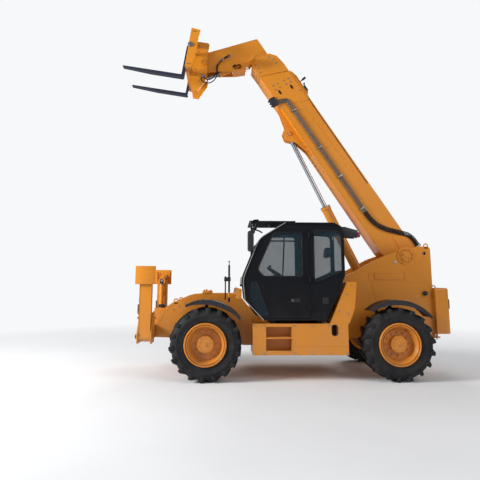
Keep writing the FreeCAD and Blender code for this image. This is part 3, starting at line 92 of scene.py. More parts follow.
class HandlerPaint(PropertyGroup):
    paint: FloatVectorProperty(name="Machine paint", description="Orange-yellow of the steelwork",
                               subtype="COLOR", size=3, min=0, max=1, default=(0.68, 0.235, 0.011))
    cab: FloatVectorProperty(name="Cab frame", description="Black paint of the cab frame", subtype="COLOR",
                             size=3, min=0, max=1, default=(0.006, 0.0065, 0.009))
    forks: FloatVectorProperty(name="Forks", description="Dark paint of the forks", subtype="COLOR", size=3,
                               min=0, max=1, default=(0.012, 0.016, 0.034))
    rubber: FloatVectorProperty(name="Rubber", description="Tyre rubber", subtype="COLOR", size=3, min=0,
                                max=1, default=(0.009, 0.009, 0.0115))
    grime: FloatProperty(name="Grime", description="How much dust lies on the lower steelwork",
                         subtype="FACTOR", min=0, max=1, default=0.35)


class HandlerStage(PropertyGroup):
    lens: FloatProperty(name="Lens", description="Focal length on a 36 mm sensor", unit="CAMERA",
                        default=34.43)
    distance: FloatProperty(name="Distance", description="Camera's distance left of the centre line",
                            unit="LENGTH", default=8.788)
    behind: FloatProperty(name="Behind", description="Camera's place behind the front axle", unit="LENGTH",
                          default=0.367)
    height: FloatProperty(name="Height", description="Camera's height over the floor", unit="LENGTH",
                          default=1.552)
    yaw: FloatProperty(name="Yaw", description="Turn towards the rear", unit="ROTATION",
                       default=math.radians(1.423))
    pitch: FloatProperty(name="Pitch", description="Tilt upwards", unit="ROTATION",
                         default=math.radians(8.865))
    roll: FloatProperty(name="Roll", description="Roll about the line of sight", unit="ROTATION",
                        default=math.radians(0.12))
    rise: FloatProperty(name="Shift", description="Upward shift of the frame", default=-0.05625)
    floor: FloatVectorProperty(name="Floor", description="Colour of the floor", subtype="COLOR", size=3,
                               min=0, max=1, default=(0.8, 0.8, 0.8))


# Node helpers for the materials


class Shader:
    """A material's node tree with short ways to add and join nodes."""

    def __init__(self, name, metallic=0.0, roughness=0.5, coat=0.0, coat_roughness=0.1):
        self.material = bpy.data.materials.new(name)
        self.material.use_nodes = True
        self.nodes = self.material.node_tree.nodes
        self.links = self.material.node_tree.links
        self.shader = self.nodes["Principled BSDF"]
        self.shader.inputs["Metallic"].default_value = metallic
        self.shader.inputs["Roughness"].default_value = roughness
        self.shader.inputs["Coat Weight"].default_value = coat
        self.shader.inputs["Coat Roughness"].default_value = coat_roughness
        self.coords = self.add("ShaderNodeTexCoord").outputs["Object"]

    def add(self, kind, **values):
        node = self.nodes.new(kind)
        for name, value in values.items():
            setattr(node, name, value)
        return node

    def join(self, source, node, socket):
        self.links.new(source, node.inputs[socket])

    def noise(self, scale, detail=4.0, rough=0.55, source=None):
        node = self.add("ShaderNodeTexNoise")
        node.inputs["Scale"].default_value = scale
        node.inputs["Detail"].default_value = detail
        node.inputs["Roughness"].default_value = rough
        self.join(source or self.coords, node, "Vector")
        return node.outputs["Fac"]

    def ramp(self, source, stops):
        """Colour or grey ramp; each stop is (position, colour)."""
        node = self.add("ShaderNodeValToRGB")
        elements = node.color_ramp.elements
        while len(elements) < len(stops):
            elements.new(0.5)
        for element, (position, colour) in zip(elements, stops):
            element.position = position
            element.color = (*colour, 1.0) if len(colour) == 3 else colour
        self.join(source, node, "Fac")
        return node.outputs["Color"]

    def grey(self, source, low, high, at_low=0.0, at_high=1.0):
        """A number that goes from low to high as source goes from at_low to at_high."""
        node = self.add("ShaderNodeMapRange")
        node.inputs["From Min"].default_value = at_low
        node.inputs["From Max"].default_value = at_high
        node.inputs["To Min"].default_value = low
        node.inputs["To Max"].default_value = high
        self.join(source, node, "Value")
        return node.outputs["Result"]

    def mix(self, factor, first, second):
        """Colour between first and second; either may be a colour or a socket."""
        node = self.add("ShaderNodeMix", data_type="RGBA")
        for value, socket in ((first, "A"), (second, "B")):
            target = [i for i in node.inputs if i.name == socket and i.type == "RGBA"][0]
            if isinstance(value, bpy.types.NodeSocket):
                self.links.new(value, target)
            else:
                target.default_value = (*value, 1.0)
        self.links.new(factor, node.inputs["Factor"])
        return [o for o in node.outputs if o.type == "RGBA"][0]

    def multiply(self, first, second):
        node = self.add("ShaderNodeMath", operation="MULTIPLY")
        self.links.new(first, node.inputs[0])
        if isinstance(second, bpy.types.NodeSocket):
            self.links.new(second, node.inputs[1])
        else:
            node.inputs[1].default_value = second
        return node.outputs[0]

    def height(self):
        """Height above the floor, in metres."""
        node = self.add("ShaderNodeSeparateXYZ")
        self.join(self.coords, node, "Vector")
        return node.outputs["Z"]

    def colour(self, source):
        self.join(source, self.shader, "Base Color")

    def roughness(self, source):
        self.join(source, self.shader, "Roughness")

    def bump(self, source, strength, distance):
        node = self.add("ShaderNodeBump")
        node.inputs["Strength"].default_value = strength
        node.inputs["Distance"].default_value = distance
        self.join(source, node, "Height")
        self.links.new(node.outputs["Normal"], self.shader.inputs["Normal"])
        return node

    def edge_wear(self, radius):
        """1 near sharp edges, 0 on flat stretches."""
        bevel = self.add("ShaderNodeBevel", samples=4)
        bevel.inputs["Radius"].default_value = radius
        geometry = self.add("ShaderNodeNewGeometry")
        dot = self.add("ShaderNodeVectorMath", operation="DOT_PRODUCT")
        self.links.new(bevel.outputs["Normal"], dot.inputs[0])
        self.links.new(geometry.outputs["Normal"], dot.inputs[1])
        return self.grey(dot.outputs["Value"], 1.0, 0.0, 0.9, 0.995)


def dusty(mat, low, high, reach, amount, dust=(0.3, 0.24, 0.17)):
    """Colour of a surface with dust that fades out by reach above the floor and gathers in patches."""
    patches = mat.grey(mat.noise(3.5, 6.0, 0.62), 0.15, 1.0, 0.35, 0.7)
    near_floor = mat.grey(mat.height(), 1.0, 0.0, 0.15, reach)
    cover = mat.multiply(mat.multiply(near_floor, patches), amount)
    shade = mat.mix(mat.grey(mat.noise(0.9, 3.0), 0.0, 1.0, 0.3, 0.7), low, high)
    return mat.mix(cover, shade, dust)


def scaled(colour, factor):
    return tuple(min(1.0, c * factor) for c in colour)


def paint_material(name, colour, grime, roughness=0.33, coat=0.15, shine=0.4):
    """Gloss machine paint with orange peel, slight fading and rubbed edges."""
    mat = Shader(name, roughness=roughness, coat=coat, coat_roughness=0.12)
    mat.shader.inputs["Specular IOR Level"].default_value = shine
    base = dusty(mat, scaled(colour, 0.93), scaled(colour, 1.05), 1.6, grime)
    worn = mat.multiply(mat.edge_wear(0.006), mat.grey(mat.noise(22.0, 5.0), 0.0, 0.8, 0.5, 0.72))
    mat.colour(mat.mix(worn, base, scaled(colour, 0.55)))
    mat.roughness(mat.grey(mat.noise(6.0, 5.0), roughness - 0.05, roughness + 0.13, 0.3, 0.7))
    mat.bump(mat.noise(260.0, 2.0), 0.04, 0.0006)
    return mat.material


def glass_material(name):
    """Tinted cab glass that mirrors the studio, with lighter blotches in its colour as painted reflection of
    clouds.
    """
    mat = Shader(name, roughness=0.04, coat=0.0)
    mat.shader.inputs["IOR"].default_value = 1.45
    mat.shader.inputs["Transmission Weight"].default_value = 0.0
    mat.shader.inputs["Specular IOR Level"].default_value = 0.7
    # Painted reflection of clouds: the dark blue tint goes lighter in large blotches
    painted_cloud_reflections = mat.noise(0.9, 2.0)
    mat.colour(mat.ramp(painted_cloud_reflections, ((0.3, (0.012, 0.034, 0.046)), (0.7, (0.022, 0.052, 0.068)))))
    mat.shader.inputs["Alpha"].default_value = 0.36
    mat.roughness(mat.grey(mat.noise(6.0, 3.0), 0.02, 0.06, 0.3, 0.7))
    return mat.material


def rubber_material(name, colour, grime, fine=140.0):
    """Matt rubber with dust in it and a fine moulded grain."""
    mat = Shader(name, roughness=0.78)
    mat.shader.inputs["Specular IOR Level"].default_value = 0.35
    dust = mat.grey(mat.noise(5.0, 7.0, 0.66), 0.0, 0.55 * grime, 0.42, 0.72)
    mat.colour(mat.mix(dust, colour, (0.2, 0.17, 0.13)))
    mat.roughness(mat.grey(mat.noise(9.0, 4.0), 0.66, 0.9, 0.3, 0.7))
    mat.bump(mat.noise(fine, 3.0), 0.18, 0.0012)
    return mat.material


def metal_material(name, colour, roughness, metallic=1.0, scale=30.0, dark=(0.1, 0.08, 0.06), amount=0.35):
    """Bare or plated steel with a drawn grain and oily patches."""
    mat = Shader(name, metallic=metallic, roughness=roughness)
    patches = mat.grey(mat.noise(7.0, 6.0, 0.6), 0.0, amount, 0.45, 0.75)
    mat.colour(mat.mix(patches, colour, dark))
    mat.roughness(mat.grey(mat.noise(scale, 5.0), roughness * 0.8, min(1.0, roughness * 1.5 + 0.04), 0.3,
                           0.7))
    mat.bump(mat.noise(scale * 6.0, 2.0), 0.06, 0.0006)
    return mat.material


def plastic_material(name, colour, roughness=0.5, grain=420.0):
    """Moulded plastic with a fine pebble grain."""
    mat = Shader(name, roughness=roughness)
    mat.colour(mat.mix(mat.grey(mat.noise(3.0, 4.0), 0.0, 0.5, 0.4, 0.8), colour, scaled(colour, 1.7)))
    mat.roughness(mat.grey(mat.noise(14.0, 3.0), roughness - 0.06, roughness + 0.1, 0.3, 0.7))
    mat.bump(mat.noise(grain, 2.0), 0.1, 0.0008)
    return mat.material


def lens_material(name, colour):
    """Ribbed coloured lens of a lamp."""
    mat = Shader(name, roughness=0.18, coat=0.6, coat_roughness=0.05)
    mat.colour(mat.mix(mat.grey(mat.noise(30.0, 2.0), 0.0, 1.0, 0.3, 0.7), colour, scaled(colour, 0.6)))
    wave = mat.add("ShaderNodeTexWave", bands_direction="Z")
    wave.inputs["Scale"].default_value = 60.0
    mat.join(mat.coords, wave, "Vector")
    mat.bump(wave.outputs["Fac"], 0.25, 0.002)
    return mat.material


def cloth_material(name, colour):
    """Woven seat cloth."""
    mat = Shader(name, roughness=0.92)
    mat.shader.inputs["Sheen Weight"].default_value = 0.25
    mat.colour(mat.mix(mat.grey(mat.noise(90.0, 4.0), 0.0, 1.0, 0.35, 0.65), colour, scaled(colour, 1.9)))
    mat.bump(mat.noise(700.0, 2.0), 0.25, 0.001)
    return mat.material


MATERIALS = {}


def make_materials():
    """All finishes, by plain name."""
    tones = bpy.context.scene.handler_paint
    paint = tuple(tones.paint)
    cab = tuple(tones.cab)
    forks = tuple(tones.forks)
    rubber = tuple(tones.rubber)
    grime = tones.grime
    MATERIALS["paint"] = paint_material("Machine_paint", paint, grime)
    MATERIALS["cab_black"] = paint_material("Cab_black_paint", cab, grime * 0.2, 0.45, coat=0.0, shine=0.14)
    MATERIALS["fork_black"] = paint_material("Fork_dark_paint", forks, grime * 0.5, 0.42)
    MATERIALS["glass"] = glass_material("Cab_glass")
    MATERIALS["tyre"] = rubber_material("Tyre_rubber", rubber, grime * 0.5)
    MATERIALS["rubber"] = rubber_material("Hose_rubber", scaled(rubber, 0.8), grime * 0.5, 260.0)
    MATERIALS["plastic"] = plastic_material("Black_plastic", (0.012, 0.012, 0.015))
    MATERIALS["chrome"] = metal_material("Chromed_rod", (0.36, 0.37, 0.4), 0.2, amount=0.08)
    MATERIALS["steel"] = metal_material("Bare_steel", (0.34, 0.33, 0.32), 0.36)
    MATERIALS["pipe"] = metal_material("Pipe_steel", (0.19, 0.145, 0.115), 0.45, metallic=0.6)
    # Near-black painted shade for holes, slots and the grip's recess; also the dark joints of the engine
    # cover
    MATERIALS["shadow"] = plastic_material("Dark_opening", (0.004, 0.003, 0.003), 0.9)
    MATERIALS["trim"] = plastic_material("Pale_trim", (0.24, 0.235, 0.225), 0.38)
    MATERIALS["belt"] = cloth_material("Belt_web", (0.16, 0.014, 0.012))
    MATERIALS["zinc"] = metal_material("Zinc_plated_steel", (0.42, 0.38, 0.3), 0.42)
    MATERIALS["cast"] = metal_material("Cast_iron", (0.03, 0.029, 0.028), 0.62, metallic=0.4, scale=70.0)
    MATERIALS["seat"] = cloth_material("Seat_cloth", (0.02, 0.022, 0.028))
    MATERIALS["amber"] = lens_material("Amber_lens", (0.8, 0.22, 0.01))
    MATERIALS["red"] = lens_material("Red_lens", (0.45, 0.012, 0.01))
    MATERIALS["clear"] = lens_material("Clear_lens", (0.6, 0.62, 0.62))


# Which finish each node of the frame takes

FINISHES = {
    "paint": ("chassis_frame", "nose_beam", "step_box", "engine_hood", "boom_base", "boom_middle",
              "boom_inner", "hitch", "counterweight", "carriage", "lamps", "chassis_pins", "leg_left",
              "leg_right", "leg_barrel_left", "leg_barrel_right", "pad_left", "pad_right", "front_axle",
              "rear_axle", "lift_barrel", "tilt_barrel",
              *("knuckle_" + corner for corner in CORNERS), *("rim_" + corner for corner in CORNERS)),
    "cab_black": ("cab_shell", "cab_door", "roof_guard"),
    "fork_black": ("fork_left", "fork_right"),
    "glass": ("cab_glass", "cab_door_glass"),
    "tyre": tuple("tyre_" + corner for corner in CORNERS),
    "rubber": ("cab_mounts", "boom_hoses", "neck_hoses", "coupler_hoses"),
    "plastic": ("dashboard", "mirror", *("fender_" + corner for corner in CORNERS)),
    "chrome": ("leg_rod_left", "leg_rod_right", "lift_rod", "tilt_rod"),
    "steel": ("fork_shaft", "boom_pipes"),
    "cast": ("engine_block", "exhaust"),
    "seat": ("seat",),
}


def finish_nodes():
    """Puts each node's finish in its material slots."""
    done = set()
    for finish, names in FINISHES.items():
        for name in names:
            if name not in NODES:
                continue
            slots = NODES[name].data.materials
            slots.clear()
            slots.append(MATERIALS[finish])
            done.add(name)
    bare = sorted(set(NODES) - done)
    if bare:
        raise RuntimeError(f"these nodes have no finish: {bare}")


# Modelling helpers


class Form:
    """A piece under construction; each method adds a shape to it and hands back the shape's points."""

    def __init__(self):
        self.mesh = bmesh.new()

    def move(self, verts, middle, turn=None):
        """Turns points about the origin and then moves them to middle."""
        if turn is not None:
            bmesh.ops.rotate(self.mesh, cent=(0, 0, 0), matrix=turn, verts=verts)
        bmesh.ops.translate(self.mesh, vec=Vector(middle), verts=verts)
        return verts

    def scale(self, verts, factors):
        bmesh.ops.scale(self.mesh, vec=factors, verts=verts)

    def bevel(self, edges, offset, segments=2):
        """Rounds edges and hands back the points of the new faces."""
        out = bmesh.ops.bevel(self.mesh, geom=edges, offset=offset, segments=segments, profile=0.5,
                              affect="EDGES", material=-1)
        return {vert for face in out["faces"] for vert in face.verts}

    def spin(self, geom, steps):
        """Turns geometry once around the Z axis."""
        bmesh.ops.spin(self.mesh, geom=geom, cent=(0, 0, 0), axis=(0, 0, 1), angle=2 * math.pi, steps=steps,
                       use_merge=True)

    def block(self, middle, size, bevel=0.0, turn=None, segments=2):
        """A block with rounded edges."""
        made = bmesh.ops.create_cube(self.mesh, size=1.0)["verts"]
        self.scale(made, Vector(size))
        if bevel:
            made = list(self.bevel(edges_of(made), bevel, segments))
        return self.move(made, middle, turn)

    def rod(self, start, end, radius, sides=20, tip=None, bevel=0.0):
        """A round bar from start to end; tip is the radius at its end."""
        start, end = Vector(start), Vector(end)
        made = bmesh.ops.create_cone(self.mesh, cap_ends=True, segments=sides, radius1=radius,
                                     radius2=radius if tip is None else tip,
                                     depth=(end - start).length)["verts"]
        if bevel:
            rims = [edge for edge in edges_of(made) if abs(edge.verts[0].co.z - edge.verts[1].co.z) < 1e-6]
            made = list(self.bevel(rims, bevel) | {vert for vert in made if vert.is_valid})
        return self.move(made, (start + end) / 2, lay_along(end - start))

    def ring(self, middle, axis, radius, thick, steps=64, sides=10):
        """A ring of round section."""
        made = bmesh.ops.create_circle(self.mesh, segments=sides, radius=thick)["verts"]
        self.move(made, (radius, 0, 0), Matrix.Rotation(math.pi / 2, 3, "X"))
        before = set(self.mesh.verts) - set(made)
        self.spin(made + edges_of(made), steps)
        return self.move([vert for vert in self.mesh.verts if vert not in before], middle, lay_along(axis))

    def lathe(self, profile, middle, axis, steps=64):
        """Turned form of (radius, offset along the axis) points; open where the profile is."""
        before = set(self.mesh.verts)
        verts = [bmesh.ops.create_vert(self.mesh, co=(radius, 0, offset))["vert"][0]
                 for radius, offset in profile]
        self.spin(verts + [self.mesh.edges.new(pair) for pair in zip(verts, verts[1:])], steps)
        made = [vert for vert in self.mesh.verts if vert not in before]
        bmesh.ops.remove_doubles(self.mesh, verts=made, dist=1e-5)
        return self.move([vert for vert in self.mesh.verts if vert not in before], middle, lay_along(axis))

    def plate(self, outline, thick, bevel=0.0):
        """A plate whose outline points lie in one plane, thick along that plane's normal."""
        verts = [self.mesh.verts.new(point) for point in outline]
        face = self.mesh.faces.new(verts)
        face.normal_update()
        normal = face.normal.copy()
        grown = bmesh.ops.extrude_face_region(self.mesh, geom=[face])["geom"]
        top = [part for part in grown if isinstance(part, bmesh.types.BMVert)]
        bmesh.ops.translate(self.mesh, vec=normal * thick, verts=top)
        if bevel:
            self.bevel(edges_of(verts + top), bevel)

    def strip(self, outline, inner, y0, y1):
        """A flat band between two outlines of equally many (x, z) points, from y0 to y1."""
        rows = [[self.mesh.verts.new(at(point[0], y, point[1])) for point in line]
                for line, y in ((outline, y0), (inner, y0), (inner, y1), (outline, y1))]
        for first, second in zip(rows, rows[1:] + rows[:1]):
            for i in range(len(outline) - 1):
                self.mesh.faces.new((first[i], first[i + 1], second[i + 1], second[i]))
        for i in (0, len(outline) - 1):
            self.mesh.faces.new([row[i] for row in rows])

    def bolt(self, place, axis, size):
        """Hexagon head on a washer, standing on place, pointing along axis; size is the head's radius."""
        axis = Vector(axis).normalized()
        self.rod(place, place + axis * size * 0.22, size * 1.35, sides=18)
        self.rod(place + axis * size * 0.2, place + axis * size * 0.95, size, sides=6)
        self.rod(place + axis * size * 0.9, place + axis * size * 1.02, size * 0.8, sides=12,
                 tip=size * 0.7)

    def piece(self, name, finish="paint", body="chassis", smooth=35.0):
        """Puts the form into the scene as a piece that rides on a body, and empties it for the next."""
        data = bpy.data.meshes.new(name)
        bmesh.ops.recalc_face_normals(self.mesh, faces=self.mesh.faces)
        self.mesh.to_mesh(data)
        self.mesh.clear()
        return place_piece(name, data, finish, body, smooth)


def place_piece(name, data, finish, body, smooth):
    """Links a mesh as a piece with its finish, sharp over smooth degrees, riding on body if given."""
    piece = bpy.data.objects.new(name, data)
    bpy.context.scene.collection.objects.link(piece)
    data.materials.clear()
    data.materials.append(MATERIALS[finish])
    data.shade_smooth()
    data.set_sharp_from_angle(angle=math.radians(smooth))
    if body:
        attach(piece, body)
    return piece


def bolt_piece(name, rows, finish="zinc", body="chassis"):
    """One piece of many bolts; each row is (place, axis, head radius)."""
    form = Form()
    for row in rows:
        form.bolt(*row)
    return form.piece(name, finish, body, 30)


def tube_piece(name, routes, radius, finish, body="chassis", closed=False, smooth=True, corners=6):
    """Round tubes along routes as one piece; smooth ones bend gently between their points."""
    curve = bpy.data.curves.new(name, "CURVE")
    curve.dimensions = "3D"
    curve.bevel_depth = radius
    curve.bevel_resolution = corners
    curve.use_fill_caps = True
    for route in routes:
        spline = curve.splines.new("NURBS" if smooth else "POLY")
        spline.points.add(len(route) - 1)
        for point, place in zip(spline.points, route):
            point.co = (*place, 1.0)
        spline.use_cyclic_u = closed
        if smooth:
            spline.order_u = 3
            spline.use_endpoint_u = not closed
            spline.resolution_u = 6
    holder = bpy.data.objects.new(name, curve)
    mesh = bpy.data.meshes.new_from_object(holder)
    bpy.data.objects.remove(holder)
    bpy.data.curves.remove(curve)
    return place_piece(name, mesh, finish, body, 50)


def bead_piece(name, routes, radius, body="chassis", finish="paint"):
    """Thin straight beads, such as weld seams."""
    return tube_piece(name, routes, radius, finish, body, smooth=False, corners=3)


def edges_of(verts):
    """Every edge that one of the points ends, once."""
    return list({edge for vert in verts for edge in vert.link_edges})


def lay_along(direction):
    """Rotation that takes +Z to direction."""
    return Vector(direction).to_track_quat("Z", "Y").to_matrix()


def tilt(angle, axis="Y"):
    """Rotation by an angle in radians about an axis."""
    return Matrix.Rotation(angle, 3, axis)


# Places on the machine. Tables below give millimetres from the front axle's middle, on the floor


JOINTS = {joint["name"]: joint for joint in frame["joints"]}
PIVOT = Vector(JOINTS["boom_lift"]["pos_m"])
TILT = Vector(JOINTS["carriage_tilt"]["pos_m"])
BOOM_WAY = Vector(JOINTS["boom_extend"]["axis"]).normalized()
BOOM_UP = Vector((BOOM_WAY.z, 0.0, -BOOM_WAY.x))
BOOM_TURN = Matrix((BOOM_WAY, Vector((0, -1, 0)), BOOM_UP)).transposed()
COUPLER_LEAN = math.radians(8.5)
LEAN_TURN = tilt(COUPLER_LEAN)
AHEAD = Vector((-1, 0, 0))
LEFT = Vector((0, -1, 0))
RIGHT = -LEFT
UP = Vector((0, 0, 1))
SIDES = ((-1, LEFT), (1, RIGHT))


def at(x, y, z):
    """A point given in millimetres behind the front axle, right of the middle and above the floor."""
    return Vector((AXLE_X + x / 1000, y / 1000, z / 1000))


def on_boom(along, y, up):
    """A point given in millimetres along the boom from its pivot, across it and square to it."""
    return PIVOT + BOOM_WAY * (along / 1000) + BOOM_UP * (up / 1000) + Vector((0, y / 1000, 0))


def on_coupler(ahead, y, up):
    """A point given in millimetres ahead of the tilt pin, across and up, on the leaning coupler."""
    return TILT + LEAN_TURN @ Vector((-ahead / 1000, y / 1000, up / 1000))


def beside_pivot(ahead, y, up):
    """A point given in millimetres in front of the boom's pivot, across and above it."""
    return PIVOT + Vector((-ahead / 1000, y / 1000, up / 1000))


def around(middle, radius, share, y=0.0):
    """A point on an upright circle, a share of a turn from the rear, moved by y metres."""
    angle = 2 * math.pi * share
    return middle + Vector((radius * math.cos(angle), y, radius * math.sin(angle)))


# Tyres and wheels


LUG_COUNT = 18
LUG_WIDTH = 0.072
LUG_TAPER = 0.8
LUG_TRAIL = 0.078
LUG_TOP = TYRE_RADIUS - 0.0016
LUG_FOOT = TYRE_RADIUS - 0.075
TREAD_HALF = 0.201
# The carcass from bead to bead, outer side first: (radius, distance from the middle plane)
SIDEWALL = ((0.306, 0.158), (0.33, 0.166), (0.352, 0.171), (0.362, 0.186), (0.376, 0.192), (0.384, 0.188),
            (0.42, 0.197), (0.452, 0.2), (0.462, 0.204), (0.474, 0.2), (0.5, 0.194), (0.534, 0.178),
            (0.552, 0.156), (0.56, 0.11), (0.563, 0.0))


class HANDLER_OT_tyres(Operator):
    """Tractor tyres with slanting rounded bars"""
    bl_idname = "handler.tyres"
    bl_label = "Tyres"

    def execute(self, context):
        for corner in CORNERS:
            form = Form()
            form.lathe(list(SIDEWALL) + [(radius, -out) for radius, out in reversed(SIDEWALL[:-1])],
                       (0, 0, 0), RIGHT, steps=72)
            for i in range(LUG_COUNT):
                for side, phase in ((1, 0.0), (-1, 0.5)):
                    self.bar(form, side, 2 * math.pi * (i + phase) / LUG_COUNT)
            if corner.endswith("left"):
                form.scale(form.mesh.verts, (1, -1, 1))
            form.move(form.mesh.verts, centre("rim_" + corner))
            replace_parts(form.piece("Tyre_" + corner, "tyre", "wheel_" + corner, 40), "tyre_" + corner)
        return {"FINISHED"}

    def bar(self, form, side, angle):
        """One tread bar: sheared so that its outer end trails, tapered towards its top."""
        before = set(form.mesh.verts)
        verts = bmesh.ops.create_cube(form.mesh, size=1.0)["verts"]
        for vert in verts:
            if vert.co.z > 0:
                vert.co.x *= LUG_TAPER
        form.scale(verts, (LUG_WIDTH, TREAD_HALF + 0.006, LUG_TOP - LUG_FOOT))
        form.move(verts, (0, (TREAD_HALF - 0.01) / 2, (LUG_TOP + LUG_FOOT) / 2))
        outer = [vert for vert in verts if vert.co.y > 0.1]
        form.move(outer, (LUG_TRAIL, 0, 0))
        for vert in outer:
            if vert.co.z < LUG_TOP - 0.01:
                vert.co.y += 0.004
                vert.co.z -= 0.02
        form.bevel(edges_of(verts), 0.007)
        made = [vert for vert in form.mesh.verts if vert not in before]
        form.move(made, (-0.03, 0, 0))
        if side < 0:
            form.scale(made, (1, -1, 1))
        form.move(made, (0, 0, 0), tilt(angle))


class HANDLER_OT_wheels(Operator):
    """Lock rings, wheel nuts, hub bolts, plugs and valves"""
    bl_idname = "handler.wheels"
    bl_label = "Wheels"

    nuts: IntProperty(name="Nuts", description="Wheel nuts on each wheel", default=12, min=6, max=16)

    def execute(self, context):
        for corner in CORNERS:
            out = LEFT if corner.endswith("left") else -LEFT
            middle = centre("rim_" + corner)
            face = middle + out * 0.052
            cover = middle + out * 0.147
            self.rings(corner, middle, out)
            self.fastenings(corner, face, cover, out)
        return {"FINISHED"}

    def rings(self, corner, middle, out):
        """Lock ring and its groove inside the outer flange, and the stepped rim of the hub cover."""
        form = Form()
        form.ring(middle + out * 0.201, out, 0.331, 0.0085, steps=72)
        form.ring(middle + out * 0.19, out, 0.3, 0.0075, steps=72)
        form.ring(middle + out * 0.148, out, 0.092, 0.0035, steps=48, sides=8)
        form.ring(middle + out * 0.062, out, 0.232, 0.0055, steps=64, sides=8)
        form.piece("Rim_rings_" + corner, "paint", "wheel_" + corner)

    def fastenings(self, corner, face, cover, out):
        form = Form()
        for i in range(self.nuts):
            place = around(face, 0.188, i / self.nuts)
            form.bolt(place, out, 0.0175)
            form.rod(place + out * 0.015, place + out * 0.034, 0.0095, sides=12, tip=0.0085)
        form.piece("Wheel_nuts_" + corner, "paint", "wheel_" + corner, 30)
        for i in range(10):
            form.bolt(around(cover, 0.112, (i + 0.5) / 10), out, 0.0085)
        form.rod(cover, cover + out * 0.01, 0.034, sides=32, bevel=0.002)
        form.bolt(cover + out * 0.008, out, 0.014)
        form.bolt(around(cover, 0.066, 1 / 12), out, 0.011)
        form.piece("Hub_bolts_" + corner, "paint", "wheel_" + corner, 30)
        stem = around(face, 0.262, 2 / 12)
        form.rod(stem + out * 0.035, stem + out * 0.085, 0.0055, sides=12)
        form.rod(stem + out * 0.08, stem + out * 0.1, 0.0075, sides=12, tip=0.006)
        form.piece("Valve_" + corner, "rubber", "wheel_" + corner)


# Boom: pipes, hoses, bolts, weld seams


PIPE_COUNT = 4
PIPE_SPACING = 24.0
PIPE_Y = -234.0
# Points (along, up) of the bundle's middle, with more points where the pipes bend
PIPE_ROUTE = ((3812, -330), (3788, -266), (3742, -148), (3722, -100), (3690, -86), (3610, -86), (3400, -85),
              (2200, -81), (1180, -76), (1100, -77))
BOOM_HOSE_ROUTE = ((1120, -76), (954, -85), (659, -14), (355, 283), (206, 409), (-9, 393))
CLAMPS = (3474, 2580, 1897, 1154)


def beside(route, shift):
    """A flat route of (along, up) points moved sideways by shift."""
    moved = []
    for i, (along, up) in enumerate(route):
        before, after = route[max(i - 1, 0)], route[min(i + 1, len(route) - 1)]
        way = Vector((after[0] - before[0], after[1] - before[1])).normalized()
        moved.append((along - way.y * shift, up + way.x * shift))
    return moved


def shifts():
    """Sideways places of the pipes in their bundle."""
    return [(i - (PIPE_COUNT - 1) / 2) * PIPE_SPACING for i in range(PIPE_COUNT)]


class HANDLER_OT_boom_pipes(Operator):
    """Steel pipes and hoses on the near side of the boom, with clamps, nuts and the valve block"""
    bl_idname = "handler.boom_pipes"
    bl_label = "Boom pipes and hoses"

    def execute(self, context):
        pipes = [[on_boom(along, PIPE_Y, up) for along, up in beside(PIPE_ROUTE, shift)]
                 for shift in shifts()]
        piece = tube_piece("Boom_pipes", pipes, 0.009, "pipe", "boom")
        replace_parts(piece, "boom_pipes")
        hoses = [[on_boom(along, PIPE_Y - 6, up) for along, up in beside(BOOM_HOSE_ROUTE, shift)]
                 for shift in shifts()]
        piece = tube_piece("Boom_hoses", hoses, 0.01, "rubber", "boom")
        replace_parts(piece, "boom_hoses")
        self.clamps()
        self.nuts()
        return {"FINISHED"}

    def clamps(self):
        """Split clamp blocks with a cover strip and two bolts each, and the holder on the heel bracket."""
        form = Form()
        strips = Form()
        rows = []
        for along in CLAMPS:
            up = -76 - (along - 1132) * 10 / 2587
            form.block(on_boom(along, PIPE_Y + 6, up), (0.044, 0.036, 0.104), 0.004, BOOM_TURN)
            strips.block(on_boom(along, PIPE_Y - 14, up), (0.03, 0.005, 0.112), 0.001, BOOM_TURN)
            rows += [(on_boom(along, PIPE_Y - 16, up + way * 48), LEFT, 0.007) for way in (-1, 1)]
        form.block(on_boom(-5, PIPE_Y - 3, 393), (0.04, 0.036, 0.11), 0.004, BOOM_TURN)
        strips.block(on_boom(-5, PIPE_Y - 22, 393), (0.026, 0.004, 0.116), 0.001, BOOM_TURN)
        form.piece("Pipe_clamps", "plastic", "boom")
        strips.piece("Clamp_strips", "zinc", "boom")
        bolt_piece("Clamp_bolts", rows, body="boom")

    def nuts(self):
        """Union nuts where the hoses start and the block under the mouth with its fittings."""
        form = Form()
        for shift in shifts():
            for first, second, radius in ((1132, 1104, 0.0135), (1100, 1072, 0.0125)):
                place = [on_boom(along, PIPE_Y - (3 if along > 1100 else 5), -76 + shift)
                         for along in (first, second)]
                form.rod(place[0], place[1], radius, sides=6)
            foot = on_boom(3812, PIPE_Y, -330) + BOOM_WAY * (shift / 1000)
            form.rod(foot - BOOM_UP * 0.012, foot + BOOM_UP * 0.02, 0.014, sides=6)
        form.piece("Pipe_nuts", "zinc", "boom", 30)
        form.block(on_boom(3832, -208, -328), (0.176, 0.094, 0.12), 0.006, BOOM_TURN)
        for along in (3775, 3832, 3889):
            place = on_boom(along, -208, -388)
            form.rod(place, place - BOOM_UP * 0.03, 0.016, sides=20, bevel=0.003)
        form.piece("Mouth_valve_block", "plastic", "boom")


